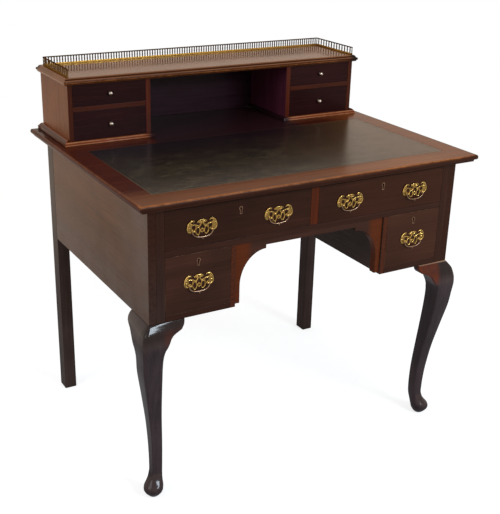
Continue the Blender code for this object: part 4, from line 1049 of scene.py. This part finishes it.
def make_handles():
    plate, bail = make_plate_mesh(), make_bail_mesh()
    for node in [name for name in frame["nodes"] if name.startswith("bail_")]:
        handle = node.removeprefix("bail_")
        kind, *_, side = handle.split("_")
        low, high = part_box(f"backplate_{handle}")
        middle = Vector(((low.x + high.x) / 2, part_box(f"{kind}_drawer_{side}")[0].y, high.z - PLATE_TOP))
        for name, mesh, brass, stood_for, place in (
            ("plate", plate, PLATE_BRASS, f"backplate_{handle}", middle),
            ("bow", bail, BAIL_BRASS, node, middle + Vector((0, -BAIL_OUT, POST_Z))),
        ):
            copy = mesh.copy()
            bmesh.ops.translate(copy, vec=place, verts=copy.verts)
            dress(f"{name}_{handle}", copy, brass, stood_for, 50)


KNOB_PROFILE = (
    (4, 0.3), (4.3, 0.6), (4.1, 1), (3, 1.4), (2.5, 2), (2.4, 2.9), (2.8, 3.7), (3.8, 4.6), (4.8, 5.6),
    (5.35, 6.8), (5.45, 7.8), (5.1, 9), (4.3, 10.2), (3.2, 11.2), (1.7, 11.8), (0, 12),
)
KNOB_STEM = ((2, 0.4), (2, -8))


def make_knobs():
    for side, _ in SIDES:
        for level in ("lower", "upper"):
            low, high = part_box(f"knob_{level}_{side}")
            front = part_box(f"small_drawer_{level}_{side}")[0].y
            bm = bmesh.new()
            centre = ((low.x + high.x) / 2, front, (low.z + high.z) / 2)
            turned(bm, KNOB_PROFILE, centre, FORWARD, 24)
            turned(bm, KNOB_STEM, centre, FORWARD, 12)
            tarnish_near(bm, front, 7.0, 4.0)
            dress(f"turned_knob_{level}_{side}", bm, SILVER, f"knob_{level}_{side}")


# Gallery, with half sections and profiles in millimetres

BASE_SECTION = ((1.6, 0), (1.7, 0.6), (1.6, 1.6), (1, 2.2), (1.05, 3.2), (0.85, 3.9), (0.5, 4.1))
RAIL_SECTION = ((0.8, 18.7), (1.6, 19.1), (1.9, 20.1), (1.6, 21), (0.7, 21.5))
SPINDLE_PROFILE = (
    (1.8, 3.6), (1.8, 4.6), (1.5, 5.2), (1.6, 7.6), (1.85, 10.2), (1.85, 11.4), (1.6, 13.6), (1.5, 16.4),
    (1.8, 17.4), (1.8, 19.4),
)
POLE_PROFILE = (
    (1.9, 0), (1.9, 3.6), (1.3, 4.4), (1.2, 8), (1.5, 11), (1.2, 14), (1.2, 18), (1.8, 19), (1.8, 20.6),
    (1.2, 21.4), (0, 21.6),
)
END_INSET, SPINDLE_INSET = 1.0 * MM, 2.5 * MM

# Node, brass of its base and of the rest, pitch of the spindles, and whether it runs along X, with a pole at each end
GALLERY = (
    ("gallery_back", RAIL_BRASS, DARK_BRASS, 7.4 * MM, True),
    ("gallery_left", DULL_BRASS, BROWN_BRASS, 13.0 * MM, False),
    ("gallery_right", RAIL_BRASS, DARK_BRASS, 13.0 * MM, False),
)


def bar(bm, start, end, floor, half_section):
    """A bar from start to end, points on the floor plan."""
    along = (end - start).normalized()
    skin(bm, [
        [(spot.x - along.y * x * MM, spot.y + along.x * x * MM, floor + z * MM) for x, z in mirrored(half_section)]
        for spot in (start, end)
    ])


def make_gallery():
    for name, base_brass, brass, pitch, at_back in GALLERY:
        low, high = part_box(name)
        middle = (low + high) / 2
        if at_back:
            start, end = Vector((low.x + END_INSET, middle.y)), Vector((high.x - END_INSET, middle.y))
        else:
            start, end = Vector((middle.x, low.y + END_INSET)), Vector((middle.x, high.y))
        bm = bmesh.new()
        bar(bm, start, end, low.z, BASE_SECTION)
        dress(f"{name}_base", bm, base_brass, name)
        bm = bmesh.new()
        along = (end - start).normalized()
        length = (end - start).length - 2 * SPINDLE_INSET
        count = round(length / pitch)
        for index in range(count):
            spot = start + along * (SPINDLE_INSET + length * (index + 0.5) / count)
            turned(bm, SPINDLE_PROFILE, (*spot, low.z), UP, 8)
        bar(bm, start, end, low.z, RAIL_SECTION)
        for spot in (start, end) if at_back else (start,):
            turned(bm, POLE_PROFILE, (*spot, low.z), UP, 12)
        dress(f"{name}_spindles", bm, brass, name)


make_camera()
make_world()
make_lamp(
    "window", place=(0.85, -2.5, 1.85), target=(-0.1, -0.1, 0.55), size=(1.0, 0.4), power=41.5, colour=(0.78, 0.9, 1.0),
)
make_lamp("left_fill", place=(-2.6, -0.6, 2.0), target=(0.0, 0.0, 0.6), size=(1.4, 1.4), power=16.0)
make_floor()

make_writing_top_and_shelf()
make_plinths()
make_apron()
ease_boards()
make_legs()
make_handles()
make_knobs()
make_gallery()

bpy.context.scene.view_settings.view_transform = "Standard"
